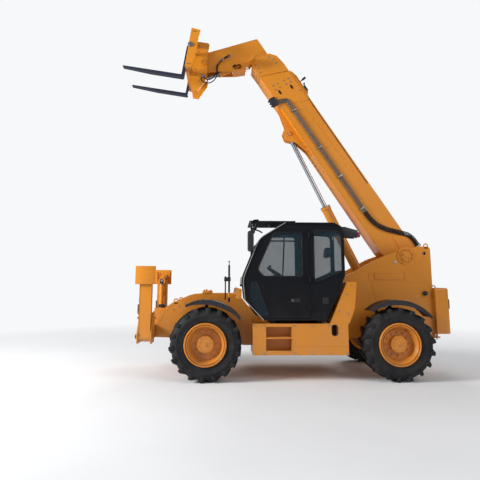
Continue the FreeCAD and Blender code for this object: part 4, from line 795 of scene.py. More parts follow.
class HANDLER_OT_boom_fittings(Operator):
    """Wear pad bolts, slots, weld seams, the limit switch and the neck gusset of the three boom sections"""
    bl_idname = "handler.boom_fittings"
    bl_label = "Boom fittings"

    def execute(self, context):
        self.bolts()
        self.seams()
        self.slots()
        self.switch()
        return {"FINISHED"}

    def bolts(self):
        rows = []
        for side, out in SIDES:
            for along, up in ((4020, -150), (4120, -150), (4020, -60), (4120, -60), (4010, 90), (4100, 90),
                              (4000, 190), (4090, 190), (3790, -200), (3760, 240)):
                rows.append((on_boom(along, side * 219, up), out, 0.012))
            for along, up in ((3130, -423), (3175, -423), (3130, -359), (3175, -359)):
                rows.append((on_boom(along, side * 101, up), out, 0.008))
        for along in range(2150, 2851, 100):
            rows += [(on_boom(along, y, -266), -BOOM_UP, 0.01) for y in (-120, 120)]
        for along in (3700, 3820, 3940, 4040):
            rows += [(on_boom(along, y, 380), BOOM_UP, 0.01) for y in (-140, 140)]
        bolt_piece("Boom_bolts", rows, body="boom")
        rows = []
        for side, out in SIDES:
            for along, up in ((4500, -200), (4590, -200), (4680, -190), (4500, 180), (4590, 170),
                              (4680, 120)):
                rows.append((on_boom(along, side * 198, up), out, 0.012))
        rows += [(on_boom(along, y, -270), -BOOM_UP, 0.011) for along in (4500, 4590)
                 for y in (-120, 0, 120)]
        bolt_piece("Collar_bolts", rows, body="boom_middle_section")
        rows = []
        for side, out in SIDES:
            for i in range(6):
                angle = 2 * math.pi * i / 6
                place = on_boom(5275, side * 135,
                                -1030) + Vector((0.068 * math.cos(angle), 0, 0.068 * math.sin(angle)))
                rows.append((place, out, 0.007))
        bolt_piece("Nose_bolts", rows, body="boom_inner_section")

    def seams(self):
        """Weld beads along the folded plates, the pressed line of the near side and the neck's joint."""
        beads = []
        for y in (-210, 210):
            beads.append([on_boom(400, y, -258), on_boom(1600, y, -258), on_boom(3680, y, -258)])
            beads.append([on_boom(420, y, 317), on_boom(1600, y, 317), on_boom(3480, y, 317)])
            beads.append([on_boom(3738, y, 117), on_boom(2239, y, 159), on_boom(2121, y, 196)])
            beads.append([on_boom(3694, y * 1.01, -235), on_boom(3600, y * 1.01, 20),
                          on_boom(3500, y * 1.01, 284)])
        bead_piece("Boom_seams", beads, 0.0042, body="boom")
        beads = []
        for y in (-135, 135):
            beads.append([on_boom(4872, y, 155), on_boom(4866, y, -60), on_boom(4830, y, -178)])
            beads.append([on_boom(5160, y, 120), on_boom(5300, y, -400), on_boom(5440, y, -900)])
        bead_piece("Neck_seams", beads, 0.004, body="boom_inner_section")
        form = Form()
        corner = [on_boom(along, -134, up) for along, up in ((4732, -396), (4813, -184), (4732, -184))]
        form.plate(corner, -0.268 if (corner[1] - corner[0]).cross(corner[2] - corner[0]).y > 0 else 0.268,
                   0.002)
        form.piece("Neck_gusset", "paint", "boom_inner_section")

    def slots(self):
        """Dark slots in the mouth's side plates with a welded rim."""
        rims = Form()
        holes = Form()
        for side in (-1, 1):
            for along, up in ((3905, 150), (3935, -110)):
                place = on_boom(along, side * 219, up)
                ring = rims.ring((0, 0, 0), RIGHT, 0.026, 0.0032, steps=36, sides=8)
                disc = holes.rod((0, -0.0015, 0), (0, 0.0015, 0), 0.025, sides=36)
                for verts, form in ((ring, rims), (disc, holes)):
                    form.scale(verts, (2.2, 1, 1))
                    form.move(verts, place, BOOM_TURN)
        rims.piece("Mouth_slot_rims", "paint", "boom")
        holes.piece("Mouth_slots", "shadow", "boom")

    def switch(self):
        """Limit switch with its roller lever on the boom's top cover, and its cable."""
        form = Form()
        form.block(on_boom(3760, -110, 402), (0.125, 0.06, 0.056), 0.006, BOOM_TURN)
        form.rod(on_boom(3800, -110, 415), on_boom(3858, -110, 440), 0.007, sides=12)
        form.rod(on_boom(3858, -124, 440), on_boom(3858, -96, 440), 0.018, sides=24, bevel=0.003)
        form.rod(on_boom(3706, -110, 402), on_boom(3680, -110, 402), 0.011, sides=12)
        form.rod(on_boom(3933, -110, 378), on_boom(3946, -110, 470), 0.012, sides=20)
        form.rod(on_boom(3944, -110, 456), on_boom(3955, -110, 535), 0.023, sides=28, bevel=0.006)
        form.piece("Limit_switch", "plastic", "boom")
        cable = [on_boom(3682, -110, 402), on_boom(3660, -112, 396), on_boom(3600, -150, 345),
                 on_boom(3560, -205, 331), on_boom(3500, -216, 300), on_boom(3300, -216, 292),
                 on_boom(1500, -216, 292)]
        tube_piece("Switch_cable", [cable], 0.0045, "rubber", "boom", corners=3)


# Coupler: hoses that cross the tilt pin, keepers and collars


class HANDLER_OT_coupler(Operator):
    """Hoses from the neck to the coupler, pin keepers, shaft collars and rail bolts"""
    bl_idname = "handler.coupler"
    bl_label = "Coupler"

    def execute(self, context):
        self.hoses()
        self.keepers()
        self.rails()
        return {"FINISHED"}

    def hoses(self):
        routes = (
            ((375, -146, 6105), (345, -168, 6094), (300, -176, 6070), (232, -178, 6012), (168, -190, 5930),
             (132, -222, 5850), (126, -246, 5760), (130, -252, 5650), (70, -254, 5520), (-30, -254, 5460),
             (-140, -252, 5470), (-200, -246, 5540), (-185, -234, 5595), (-160, -226, 5612)),
            ((340, -146, 6066), (315, -168, 6058), (275, -176, 6036), (212, -178, 5986), (146, -190, 5906),
             (108, -222, 5840), (102, -246, 5760), (104, -252, 5680), (60, -254, 5590), (-20, -254, 5535),
             (-95, -250, 5545), (-135, -238, 5590), (-145, -228, 5622)),
        )
        hoses = tube_piece("Neck_hoses", [[at(*point) for point in route] for route in routes], 0.01,
                           "rubber", None)
        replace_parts(hoses, "neck_hoses", "coupler_hoses")
        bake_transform(hoses)
        form = Form()
        for x, z in ((375, 6105), (340, 6066)):
            form.rod(at(x, -134, z), at(x, -143, z), 0.022, sides=28, bevel=0.002)
            form.rod(at(x, -141, z), at(x, -160, z), 0.016, sides=6)
        form.piece("Neck_ports", "zinc", "boom_inner_section", 30)
        form.block(at(222, -162, 6000), (0.05, 0.054, 0.076), 0.006, tilt(0.75))
        form.piece("Neck_clamp", "zinc", "boom_inner_section")
        form.block(at(-152, -214, 5618), (0.078, 0.034, 0.052), 0.005)
        for x, z in ((-160, 5612), (-145, 5622)):
            form.rod(at(x, -226, z), at(x - 6, -240, z - 14), 0.014, sides=6)
        form.piece("Coupler_port_block", "steel", "carriage_body", 30)

    def keepers(self):
        """Keeper plates on the tilt pin's caps and the fork shaft's end collars."""
        plates = Form()
        rows = []
        collars = Form()
        for side, out in SIDES:
            cap = TILT + out * 0.228
            plates.block(cap + out * 0.003, (0.1, 0.006, 0.03), 0.002, LEAN_TURN)
            rows += [(cap + LEAN_TURN @ Vector((shift, 0, 0)) + out * 0.006, out, 0.008)
                     for shift in (-0.034, 0.034)]
            shaft = on_coupler(266, side * 615, 118)
            collars.rod(shaft - out * 0.022, shaft - out * 0.004, 0.05, sides=40, bevel=0.003)
            collars.rod(shaft, shaft + out * 0.006, 0.028, sides=32, bevel=0.002)
            rows.append((shaft + out * 0.005, out, 0.011))
            rows += [(on_coupler(ahead, side * 198, up), out, 0.01) for ahead, up in (
                (150, 330), (150, 200), (150, -180), (110, -300), (0, 300), (0, 180))]
            rows += [(on_coupler(ahead, side * 590, up), out, 0.01)
                     for ahead, up in ((210, 400), (255, 400), (215, -270), (255, -270))]
        plates.piece("Pin_keepers", "paint", "carriage_body")
        collars.piece("Shaft_collars", "steel", "carriage_body")
        bolt_piece("Coupler_bolts", rows, body="carriage_body")

    def rails(self):
        """Stiffening webs and weld beads between the coupler's front plate and the carriage rails."""
        webs = Form()
        for y in (-198, -66, 66, 198):
            for up in (392, -238):
                outline = [on_coupler(232, y, up), on_coupler(232, y, up - 70 if up > 0 else up + 70),
                           on_coupler(266, y, up)]
                webs.plate(outline, 0.012, 0.002)
        webs.piece("Rail_webs", "paint", "carriage_body")
        beads = [[on_coupler(266, y0, up), on_coupler(266, 0, up), on_coupler(266, y1, up)]
                 for y0, y1, up in ((-560, 560, 250), (-560, 560, 400))]
        bead_piece("Rail_beads", beads, 0.004, body="carriage_body")


# Cab: window seals, front trim, door furniture, roof fittings and mirror


CAB_FRONT = 605.0
CAB_LENGTH = 1707.0
CAB_SIDE = -1120.0
CAB_FAR_SIDE = -290.0
DOOR_SEAM = 1722.0
# Outlines as (share of the cab's length, height, corner radius)
CAB_EDGE = ((0.202, 975, 40), (0.021, 1300, 70), (0.0, 1640, 400), (0.161, 2320, 330), (0.425, 2595, 150))
DOOR_WINDOW = ((0.583, 1690, 50), (0.208, 1690, 60), (0.1435, 1800, 80), (0.308, 2425, 110),
               (0.583, 2425, 60))
QUARTER_WINDOW = ((0.7, 1590, 60), (0.823, 1670, 60), (0.971, 1780, 60), (0.971, 2440, 90), (0.7, 2470, 50))


def cab_x(share):
    return CAB_FRONT + share * CAB_LENGTH


def rounded(points, closed=True, steps=7):
    """Outline through (x, z, radius) corners with each corner turned into an arc."""
    out = []
    for i, point in enumerate(points):
        here = Vector(point[:2])
        ends = i in (0, len(points) - 1)
        radius = point[2] if len(point) > 2 else 0
        if not radius or (ends and not closed):
            out.append(here)
            continue
        back = (Vector(points[i - 1][:2]) - here)
        ahead = (Vector(points[(i + 1) % len(points)][:2]) - here)
        half = back.angle(ahead) / 2
        reach = min(radius / math.tan(half), back.length * 0.5, ahead.length * 0.5)
        first, last = here + back.normalized() * reach, here + ahead.normalized() * reach
        for k in range(steps + 1):
            t = k / steps
            out.append(first * (1 - t) ** 2 + here * 2 * t * (1 - t) + last * t ** 2)
    return out


def window_route(table, y):
    return [at(x, y, z) for x, z in rounded([(cab_x(share), z, radius) for share, z, radius in table])]


def offset(line, gap):
    """The (x, z) points of an open line moved sideways by gap."""
    moved = []
    for i, point in enumerate(line):
        way = (line[min(i + 1, len(line) - 1)] - line[max(i - 1, 0)]).normalized()
        moved.append(point + Vector((-way.y, way.x)) * gap)
    return moved


class HANDLER_OT_cab_trim(Operator):
    """Window seals, front trim, gutter, vents, handle, locks and hinges' screws"""
    bl_idname = "handler.cab_trim"
    bl_label = "Cab trim"

    def execute(self, context):
        self.seals()
        self.edge()
        self.door_furniture()
        self.panels()
        return {"FINISHED"}

    def seals(self):
        """Rubber gaskets around every pane."""
        side = CAB_SIDE + 3
        far = CAB_FAR_SIDE - 3
        routes = [window_route(QUARTER_WINDOW, side), window_route(DOOR_WINDOW, far),
                  window_route(QUARTER_WINDOW, far)]
        tube_piece("Cab_seals", routes, 0.0095, "rubber", smooth=False, closed=True, corners=4)
        tube_piece("Door_seal", [window_route(DOOR_WINDOW, side)], 0.0095, "rubber", "door", smooth=False,
                   closed=True, corners=4)
        y0, y1 = CAB_SIDE + 62, CAB_FAR_SIDE - 62
        line = offset(rounded([(cab_x(share), z, radius) for share, z, radius in CAB_EDGE], closed=False,
                              steps=12), -4)
        front = [point for point in line if 1330 < point.y < 2470]
        sides = [[at(point.x, y, point.y) for point in front] for y in (y0, y1)]
        sides.append([at(front[0].x, y0, front[0].y), at(front[0].x, y1, front[0].y)])
        sides.append([at(front[-1].x, y0, front[-1].y), at(front[-1].x, y1, front[-1].y)])
        tube_piece("Windscreen_seal", sides, 0.01, "rubber", smooth=False, corners=4)
        rear = cab_x(1.0) - 3
        back = [(y0, 1790), (y1, 1790), (y1, 2420), (y0, 2420)]
        tube_piece("Rear_seal", [[at(rear, y, z) for y, z in back]], 0.01, "rubber", smooth=False,
                   closed=True, corners=4)
        top = [(cab_x(0.466), y0 + 60), (cab_x(0.852), y0 + 60), (cab_x(0.852), y1 - 60),
               (cab_x(0.466), y1 - 60)]
        tube_piece("Roof_seal", [[at(x, y, 2593) for x, y in top]], 0.01, "rubber", smooth=False,
                   closed=True, corners=4)

    def edge(self):
        """Pale trim on the front edge of the cab, and the roof's rain gutter."""
        line = rounded([(cab_x(share), z, radius) for share, z, radius in CAB_EDGE], closed=False, steps=12)
        form = Form()
        for y0, y1 in ((CAB_SIDE - 5, CAB_SIDE + 24), (CAB_FAR_SIDE - 24, CAB_FAR_SIDE + 5)):
            form.strip(offset(line, 5), offset(line, -8), y0, y1)
        form.piece("Front_edge_trim", "trim", smooth=40)
        roof = [at(cab_x(0.44), CAB_SIDE - 8, 2570), at(cab_x(0.95), CAB_SIDE - 8, 2566),
                at(cab_x(0.985), CAB_SIDE - 8, 2500), at(cab_x(0.999), CAB_SIDE - 8, 2330)]
        tube_piece("Rain_gutter", [roof], 0.0075, "cab_black", corners=4)

    def door_furniture(self):
        """Sunk handle with its lock, hinge screws, seam strip and the door's lower glass line."""
        form = Form()
        form.block(at(1478, CAB_SIDE - 2, 1296), (0.15, 0.008, 0.062), 0.004, segments=3)
        form.block(at(1492, CAB_SIDE - 16, 1300), (0.1, 0.018, 0.022), 0.007, segments=4)
        form.rod(at(1448, CAB_SIDE - 4, 1300), at(1448, CAB_SIDE - 16, 1300), 0.008, sides=20)
        form.piece("Door_handle", "plastic", "door")
        form.rod(at(1428, CAB_SIDE - 5, 1296), at(1428, CAB_SIDE - 11, 1296), 0.011, sides=32, bevel=0.002)
        form.piece("Door_lock", "chrome", "door")
        rows = []
        for z in (1180, 1640, 2380):
            for shift in (-28, 28):
                rows.append((at(DOOR_SEAM - 40, CAB_SIDE - 16, z + shift), LEFT, 0.007))
        bolt_piece("Door_hinge_screws", rows, "cab_black", "door")
        rows = [(at(DOOR_SEAM + 40, CAB_SIDE - 16, z + shift), LEFT, 0.007) for z in (1180, 1640, 2380)
                for shift in (-28, 28)]
        bolt_piece("Cab_hinge_screws", rows, "cab_black")
        # Slanting rib that parts the door's lower front pane from its panel
        pane = [(840, 1600), (1045, 1040)]
        tube_piece("Door_rib", [[at(x, CAB_SIDE, z) for x, z in pane]], 0.007, "rubber", "door",
                   smooth=False)
        corners = [(745, 1600, 60), (835, 1600, 30), (1035, 1050, 30), (900, 1050, 60), (742, 1320, 120)]
        form.plate([at(x, CAB_SIDE - 2.5, z) for x, z in rounded(corners)], 0.004)
        form.piece("Door_lower_pane", "glass", "door")
        loop = [at(x, CAB_SIDE - 2, z) for x, z in rounded(corners)]
        tube_piece("Door_lower_seal", [loop], 0.006, "rubber", "door", smooth=False, closed=True)
        # Gas spring inside the door
        form.rod(at(1650, CAB_SIDE + 60, 1120), at(1380, CAB_SIDE + 60, 1090), 0.011, sides=20)
        form.piece("Door_stay", "plastic", "door")

    def panels(self):
        """Vent in the rear side panel, pressed lines and the rubber mounts under the floor."""
        form = Form()
        form.block(at(1976, CAB_SIDE - 3, 1291), (0.094, 0.012, 0.106), 0.005, segments=3)
        for k in range(5):
            form.block(at(1976, CAB_SIDE - 10, 1255 + 18 * k), (0.072, 0.008, 0.006), 0.002, tilt(0.5, "X"))
        form.piece("Cab_vent", "plastic")
        beads = [
            [at(1745, CAB_SIDE - 1, 1560), at(1745, CAB_SIDE - 1, 1020)],
            [at(2240, CAB_SIDE - 1, 1700), at(1970, CAB_SIDE - 1, 1020), at(1745, CAB_SIDE - 1, 1020)],
            [at(1745, CAB_SIDE - 1, 1560), at(1800, CAB_SIDE - 1, 1560), at(2010, CAB_SIDE - 1, 1640),
             at(2240, CAB_SIDE - 1, 1700)],
        ]
        bead_piece("Panel_lines", beads, 0.0035, finish="cab_black")
        for x, y in ((cab_x(0.3), -1010), (cab_x(0.747), -1010), (cab_x(0.3), -560), (cab_x(0.747), -560)):
            form.lathe(((0.052, 0.0), (0.06, 0.008), (0.056, 0.022), (0.047, 0.028), (0.047, 0.034),
                        (0.056, 0.04), (0.058, 0.052), (0.05, 0.055)), at(x, y, 920), (0, 0, 1), steps=40)
        form.piece("Mount_bulges", "rubber")


class HANDLER_OT_roof(Operator):
    """Work lamps, guard bolts, wiper and mirror"""
    bl_idname = "handler.roof"
    bl_label = "Roof and mirror"

    def execute(self, context):
        self.mirror()
        self.lamps()
        self.wiper()
        return {"FINISHED"}

    def mirror(self):
        """Capsule mirror on a bent arm: dark shell towards the front, glass towards the rear."""
        x = 746
        form = Form()
        outline = rounded([(x - 62, 2096, 46), (x + 30, 2096, 40), (x + 30, 2444, 40), (x - 62, 2444, 46)])
        section = [at(px, -1156, pz) for px, pz in outline]
        form.plate(section, -0.05, 0.01)
        form.piece("Mirror_shell", "plastic", smooth=50)
        form.block(at(x + 34, -1129, 2270), (0.012, 0.048, 0.33), 0.005, segments=3)
        form.block(at(x + 6, -1094, 2160), (0.05, 0.026, 0.04), 0.005)
        form.block(at(x + 6, -1094, 2380), (0.05, 0.026, 0.04), 0.005)
        form.piece("Mirror_back", "plastic")
        form.block(at(x + 41, -1129, 2270), (0.003, 0.04, 0.31), 0.001)
        form.piece("Mirror_glass", "chrome")
        arm = [at(x, -1102, 2040), at(x, -1102, 2300), at(x, -1102, 2560), at(x + 40, -1098, 2640),
               at(x + 130, -1085, 2632)]
        brace = [at(x, -1102, 2500), at(x + 70, -1098, 2470), at(x + 160, -1080, 2440),
                 at(x + 190, -1070, 2420)]
        tube_piece("Mirror_arms", [arm, brace], 0.0125, "cab_black")

    def lamps(self):
        """Two work lamps that hang from the guard over the windscreen, and the guard's bolts."""
        shells = Form()
        lenses = Form()
        rings = Form()
        for x, y, z, way in ((806, -960, 2520, -1), (806, -450, 2520, -1)):
            front = Vector((way, 0, -0.18)).normalized()
            middle = at(x, y, z)
            shells.lathe(((0.0, -0.042), (0.03, -0.04), (0.052, -0.022), (0.06, 0.0), (0.06, 0.026)),
                         middle, front, steps=48)
            lenses.lathe(((0.0, 0.026), (0.03, 0.024), (0.056, 0.016)), middle, front, steps=48)
            rings.ring(middle + front * 0.024, front, 0.058, 0.004, steps=48, sides=8)
            shells.block(middle + Vector((0, 0, 0.068)), (0.034, 0.06, 0.034), 0.003)
            shells.block(middle + Vector((0, 0, 0.03)), (0.012, 0.13, 0.01), 0.002)
        shells.piece("Work_lamp_shells", "plastic")
        lenses.piece("Work_lamp_lenses", "clear")
        rings.piece("Work_lamp_rings", "chrome")
        rows = []
        for x in (719, 1074, 1470):
            rows += [(at(x + 13, y, 2621), UP, 0.009) for y in (-1075, -335)]
        bolt_piece("Guard_bolts", rows)

    def wiper(self):
        """Wiper arm and blade on the windscreen, with its motor cover inside the top edge."""
        line = offset(rounded([(cab_x(share), z, radius) for share, z, radius in CAB_EDGE], closed=False,
                              steps=12), 16)
        track = [point for point in line if 1500 < point.y < 2250]
        blade = [at(point.x, -640 - 60 * k / len(track), point.y) for k, point in enumerate(track)]
        arm = [at(point.x - 18, -600 - 95 * k / len(track), point.y)
               for k, point in enumerate(track[:len(track) * 2 // 3])]
        tube_piece("Wiper", [blade, arm], 0.006, "plastic", corners=3)
        form = Form()
        form.rod(at(track[0].x + 20, -600, track[0].y), at(track[0].x - 30, -600, track[0].y), 0.018,
                 sides=28, bevel=0.003)
        form.piece("Wiper_spindle", "plastic")


# Cab inside


# How far a cushion's sides pull in, as a share of its width
PULL_IN = 0.04


def add_cushion(form, middle, size, crown, turn=None):
    """A stuffed block: its faces swell by crown and its sides pull in between the corners."""
    made = bmesh.ops.create_cube(form.mesh, size=2.0)["verts"]
    before = set(form.mesh.verts) - set(made)
    bmesh.ops.subdivide_edges(form.mesh, edges=edges_of(made), cuts=9, use_grid_fill=True)
    made = [vert for vert in form.mesh.verts if vert not in before]
    half = Vector(size) / 2
    corner = min(half) * 0.55
    for vert in made:
        place = vert.co.copy()
        core = Vector((math.copysign(max(abs(p) * h - corner, 0), p) for p, h in zip(place, half)))
        away = Vector((p * h for p, h in zip(place, half))) - core
        if away.length > 0:
            core += away.normalized() * corner
        x, y, z = place
        swell = crown * (1 - x * x) * (1 - y * y)
        vert.co = core + Vector((0, 0, math.copysign(swell, z) * abs(z)))
        vert.co.x *= 1 - PULL_IN * (1 - y * y) * abs(x)
        vert.co.y *= 1 - PULL_IN * (1 - x * x) * abs(y)
    form.move(made, middle, turn)


class HANDLER_OT_cab_inside(Operator):
    """Steering wheel, dashboard, levers, pedals, seat and belt"""
    bl_idname = "handler.cab_inside"
    bl_label = "Cab inside"

    def execute(self, context):
        self.steering()
        self.controls()
        self.seat()
        self.bars()
        return {"FINISHED"}

    def steering(self):
        middle = at(1214, -710, 1738)
        axis = Vector((0.56, 0, 0.83)).normalized()
        turn = lay_along(axis)
        form = Form()
        form.ring(middle, axis, 0.19, 0.0185, steps=72, sides=16)
        form.lathe(((0.0, 0.018), (0.04, 0.014), (0.052, 0.0), (0.048, -0.03), (0.036, -0.06)), middle,
                   axis, steps=40)
        for k in range(3):
            angle = 2 * math.pi * k / 3 + math.pi / 2
            way = turn @ Vector((math.cos(angle), math.sin(angle), 0))
            form.rod(middle + way * 0.03, middle + way * 0.184, 0.013, sides=16, tip=0.01)
        knob = middle + turn @ Vector((0.0, 0.172, 0.0))
        form.lathe(((0.01, 0.01), (0.012, 0.026), (0.024, 0.04), (0.024, 0.056), (0.012, 0.066),
                    (0.0, 0.067)), knob, axis, steps=32)
        form.piece("Steering_wheel", "plastic", smooth=50)
        form.lathe(((0.044, -0.34), (0.06, -0.33), (0.052, -0.3), (0.06, -0.27), (0.05, -0.24),
                    (0.058, -0.21), (0.046, -0.18), (0.046, -0.1), (0.04, -0.06)), middle, axis, steps=40)
        for way in (-1, 1):
            stalk = middle - axis * 0.075
            form.rod(stalk, stalk + Vector((0.02, way * 0.17, 0.05)), 0.008, sides=16, tip=0.006)
            form.block(stalk + Vector((0.023, way * 0.18, 0.053)), (0.022, 0.05, 0.016), 0.006, segments=3)
        form.piece("Steering_column", "plastic", smooth=50)

    def controls(self):
        """Dash top with gauges, right console with joystick, pedals and floor mat."""
        form = Form()
        form.block(at(985, -710, 1508), (0.26, 0.42, 0.05), 0.018, tilt(-0.12), 3)
        form.block(at(1052, -710, 1560), (0.05, 0.3, 0.13), 0.014, tilt(0.45), 3)
        form.block(at(1820, -385, 1400), (0.56, 0.13, 0.3), 0.03, segments=3)
        form.block(at(1700, -385, 1560), (0.3, 0.12, 0.05), 0.018, segments=3)
        form.piece("Dash_and_console", "plastic")
        face = tilt(0.45) @ Vector((1, 0, 0))
        for y, radius in ((-790, 0.034), (-710, 0.04), (-630, 0.034)):
            middle = at(1052, y, 1562) + face * 0.026
            form.ring(middle, face, radius, 0.0035, steps=40, sides=8)
            form.rod(middle, middle + face * 0.0015, radius, sides=40)
        form.piece("Gauges", "steel")
        foot = at(1640, -385, 1582)
        form.lathe(((0.046, 0.0), (0.04, 0.014), (0.044, 0.02), (0.034, 0.034), (0.036, 0.04),
                    (0.02, 0.058), (0.014, 0.1), (0.018, 0.12), (0.026, 0.15), (0.027, 0.19),
                    (0.018, 0.212), (0.0, 0.216)), foot, (-0.12, -0.05, 1.0), steps=36)
        for y in (-1040, -1012):
            form.rod(at(1180, y, 1480), at(1150, y, 1640), 0.007, sides=16)
        for k in range(4):
            form.block(at(1760 + 42 * k, -385, 1558), (0.026, 0.04, 0.022), 0.004)
        form.piece("Joystick", "rubber", smooth=50)
        for y, width in ((-600, 0.07), (-780, 0.06), (-860, 0.06)):
            form.block(at(1150, y, 1110), (0.02, width, 0.11), 0.005, tilt(-0.6))
            form.rod(at(1140, y, 1100), at(1110, y, 1240), 0.008, sides=16)
        form.piece("Pedals", "cast")
        form.block(at(1500, -705, 1018), (0.95, 0.68, 0.008), 0.003)
        for k in range(12):
            form.block(at(1080 + 76 * k, -705, 1024), (0.018, 0.64, 0.006), 0.002)
        form.piece("Floor_mat", "rubber")

    def seat(self):
        """Stuffed cushion, back and head pad on a bellows, with arm rests and a belt."""
        lean = tilt(0.15)
        form = Form()
        add_cushion(form, at(1800, -710, 1392), (0.49, 0.49, 0.13), 0.018)
        pads = form.piece("Seat_cushion", "seat", smooth=60)
        add_cushion(form, at(2052, -710, 1732), (0.13, 0.47, 0.6), 0.0, lean)
        add_cushion(form, at(2108, -710, 2110), (0.095, 0.26, 0.18), 0.0, lean)
        backs = form.piece("Seat_back", "seat", smooth=60)
        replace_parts(pads, "seat")
        form.lathe([(0.155 + 0.012 * (k % 2), 0.045 * k) for k in range(7)], at(1800, -710, 1016),
                   (0, 0, 1), 48)
        form.block(at(1800, -710, 1312), (0.44, 0.42, 0.045), 0.012)
        for side in (-1, 1):
            arm = at(1900, -710 + side * 270, 1588)
            form.block(arm, (0.33, 0.06, 0.046), 0.02, tilt(-0.06), 3)
            form.rod(arm + Vector((0.15, 0, -0.01)), at(2060, -710 + side * 250, 1520), 0.014, sides=20)
        for shift in (-0.06, 0.06):
            form.rod(at(2085, -710, 2010) + Vector((0, shift, 0)),
                     at(2104, -710, 2080) + Vector((0, shift, 0)), 0.007, sides=16)
        form.piece("Seat_base", "plastic")
        belt = [at(1705, -1040, 2300), at(1712, -1040, 2050), at(1740, -1030, 1800), at(1830, -985, 1500)]
        for first, second in zip(belt, belt[1:]):
            way = (second - first).normalized()
            side = Vector((1, 0, 0)).cross(way).normalized()
            wide = side.cross(way).normalized() * 0.023
            form.plate([first - wide, second - wide, second + wide, first + wide], 0.002)
        form.piece("Seat_belt", "belt")

    def bars(self):
        """Bars inside the far window and the grab handle on the door pillar."""
        form = Form()
        form.block(at(1378, CAB_FAR_SIDE - 52, 2060), (0.026, 0.016, 0.79), 0.004, tilt(0.05))
        form.block(at(1345, CAB_FAR_SIDE - 52, 2349), (0.56, 0.016, 0.026), 0.004)
        form.piece("Far_window_bars", "cab_black")
        grab = [at(880, -1062, 1500), at(858, -1040, 1560), at(850, -1040, 1800), at(930, -1040, 2120),
                at(960, -1062, 2170)]
        tube_piece("Grab_handle", [grab], 0.014, "plastic")


# Chassis: side plates, deck, engine cover, steps, counterweight and lamps


HOOD_SIDE = 1110.0
CROSS_WALL_X = 2958.0
BOX_SIDE = -1100.0


def both(rows):
    """Rows of (x, y, z) and their mirror images across the middle plane, with the side they lie on."""
    return [(at(x, y * side, z), out) for x, y, z in rows for side, out in SIDES]


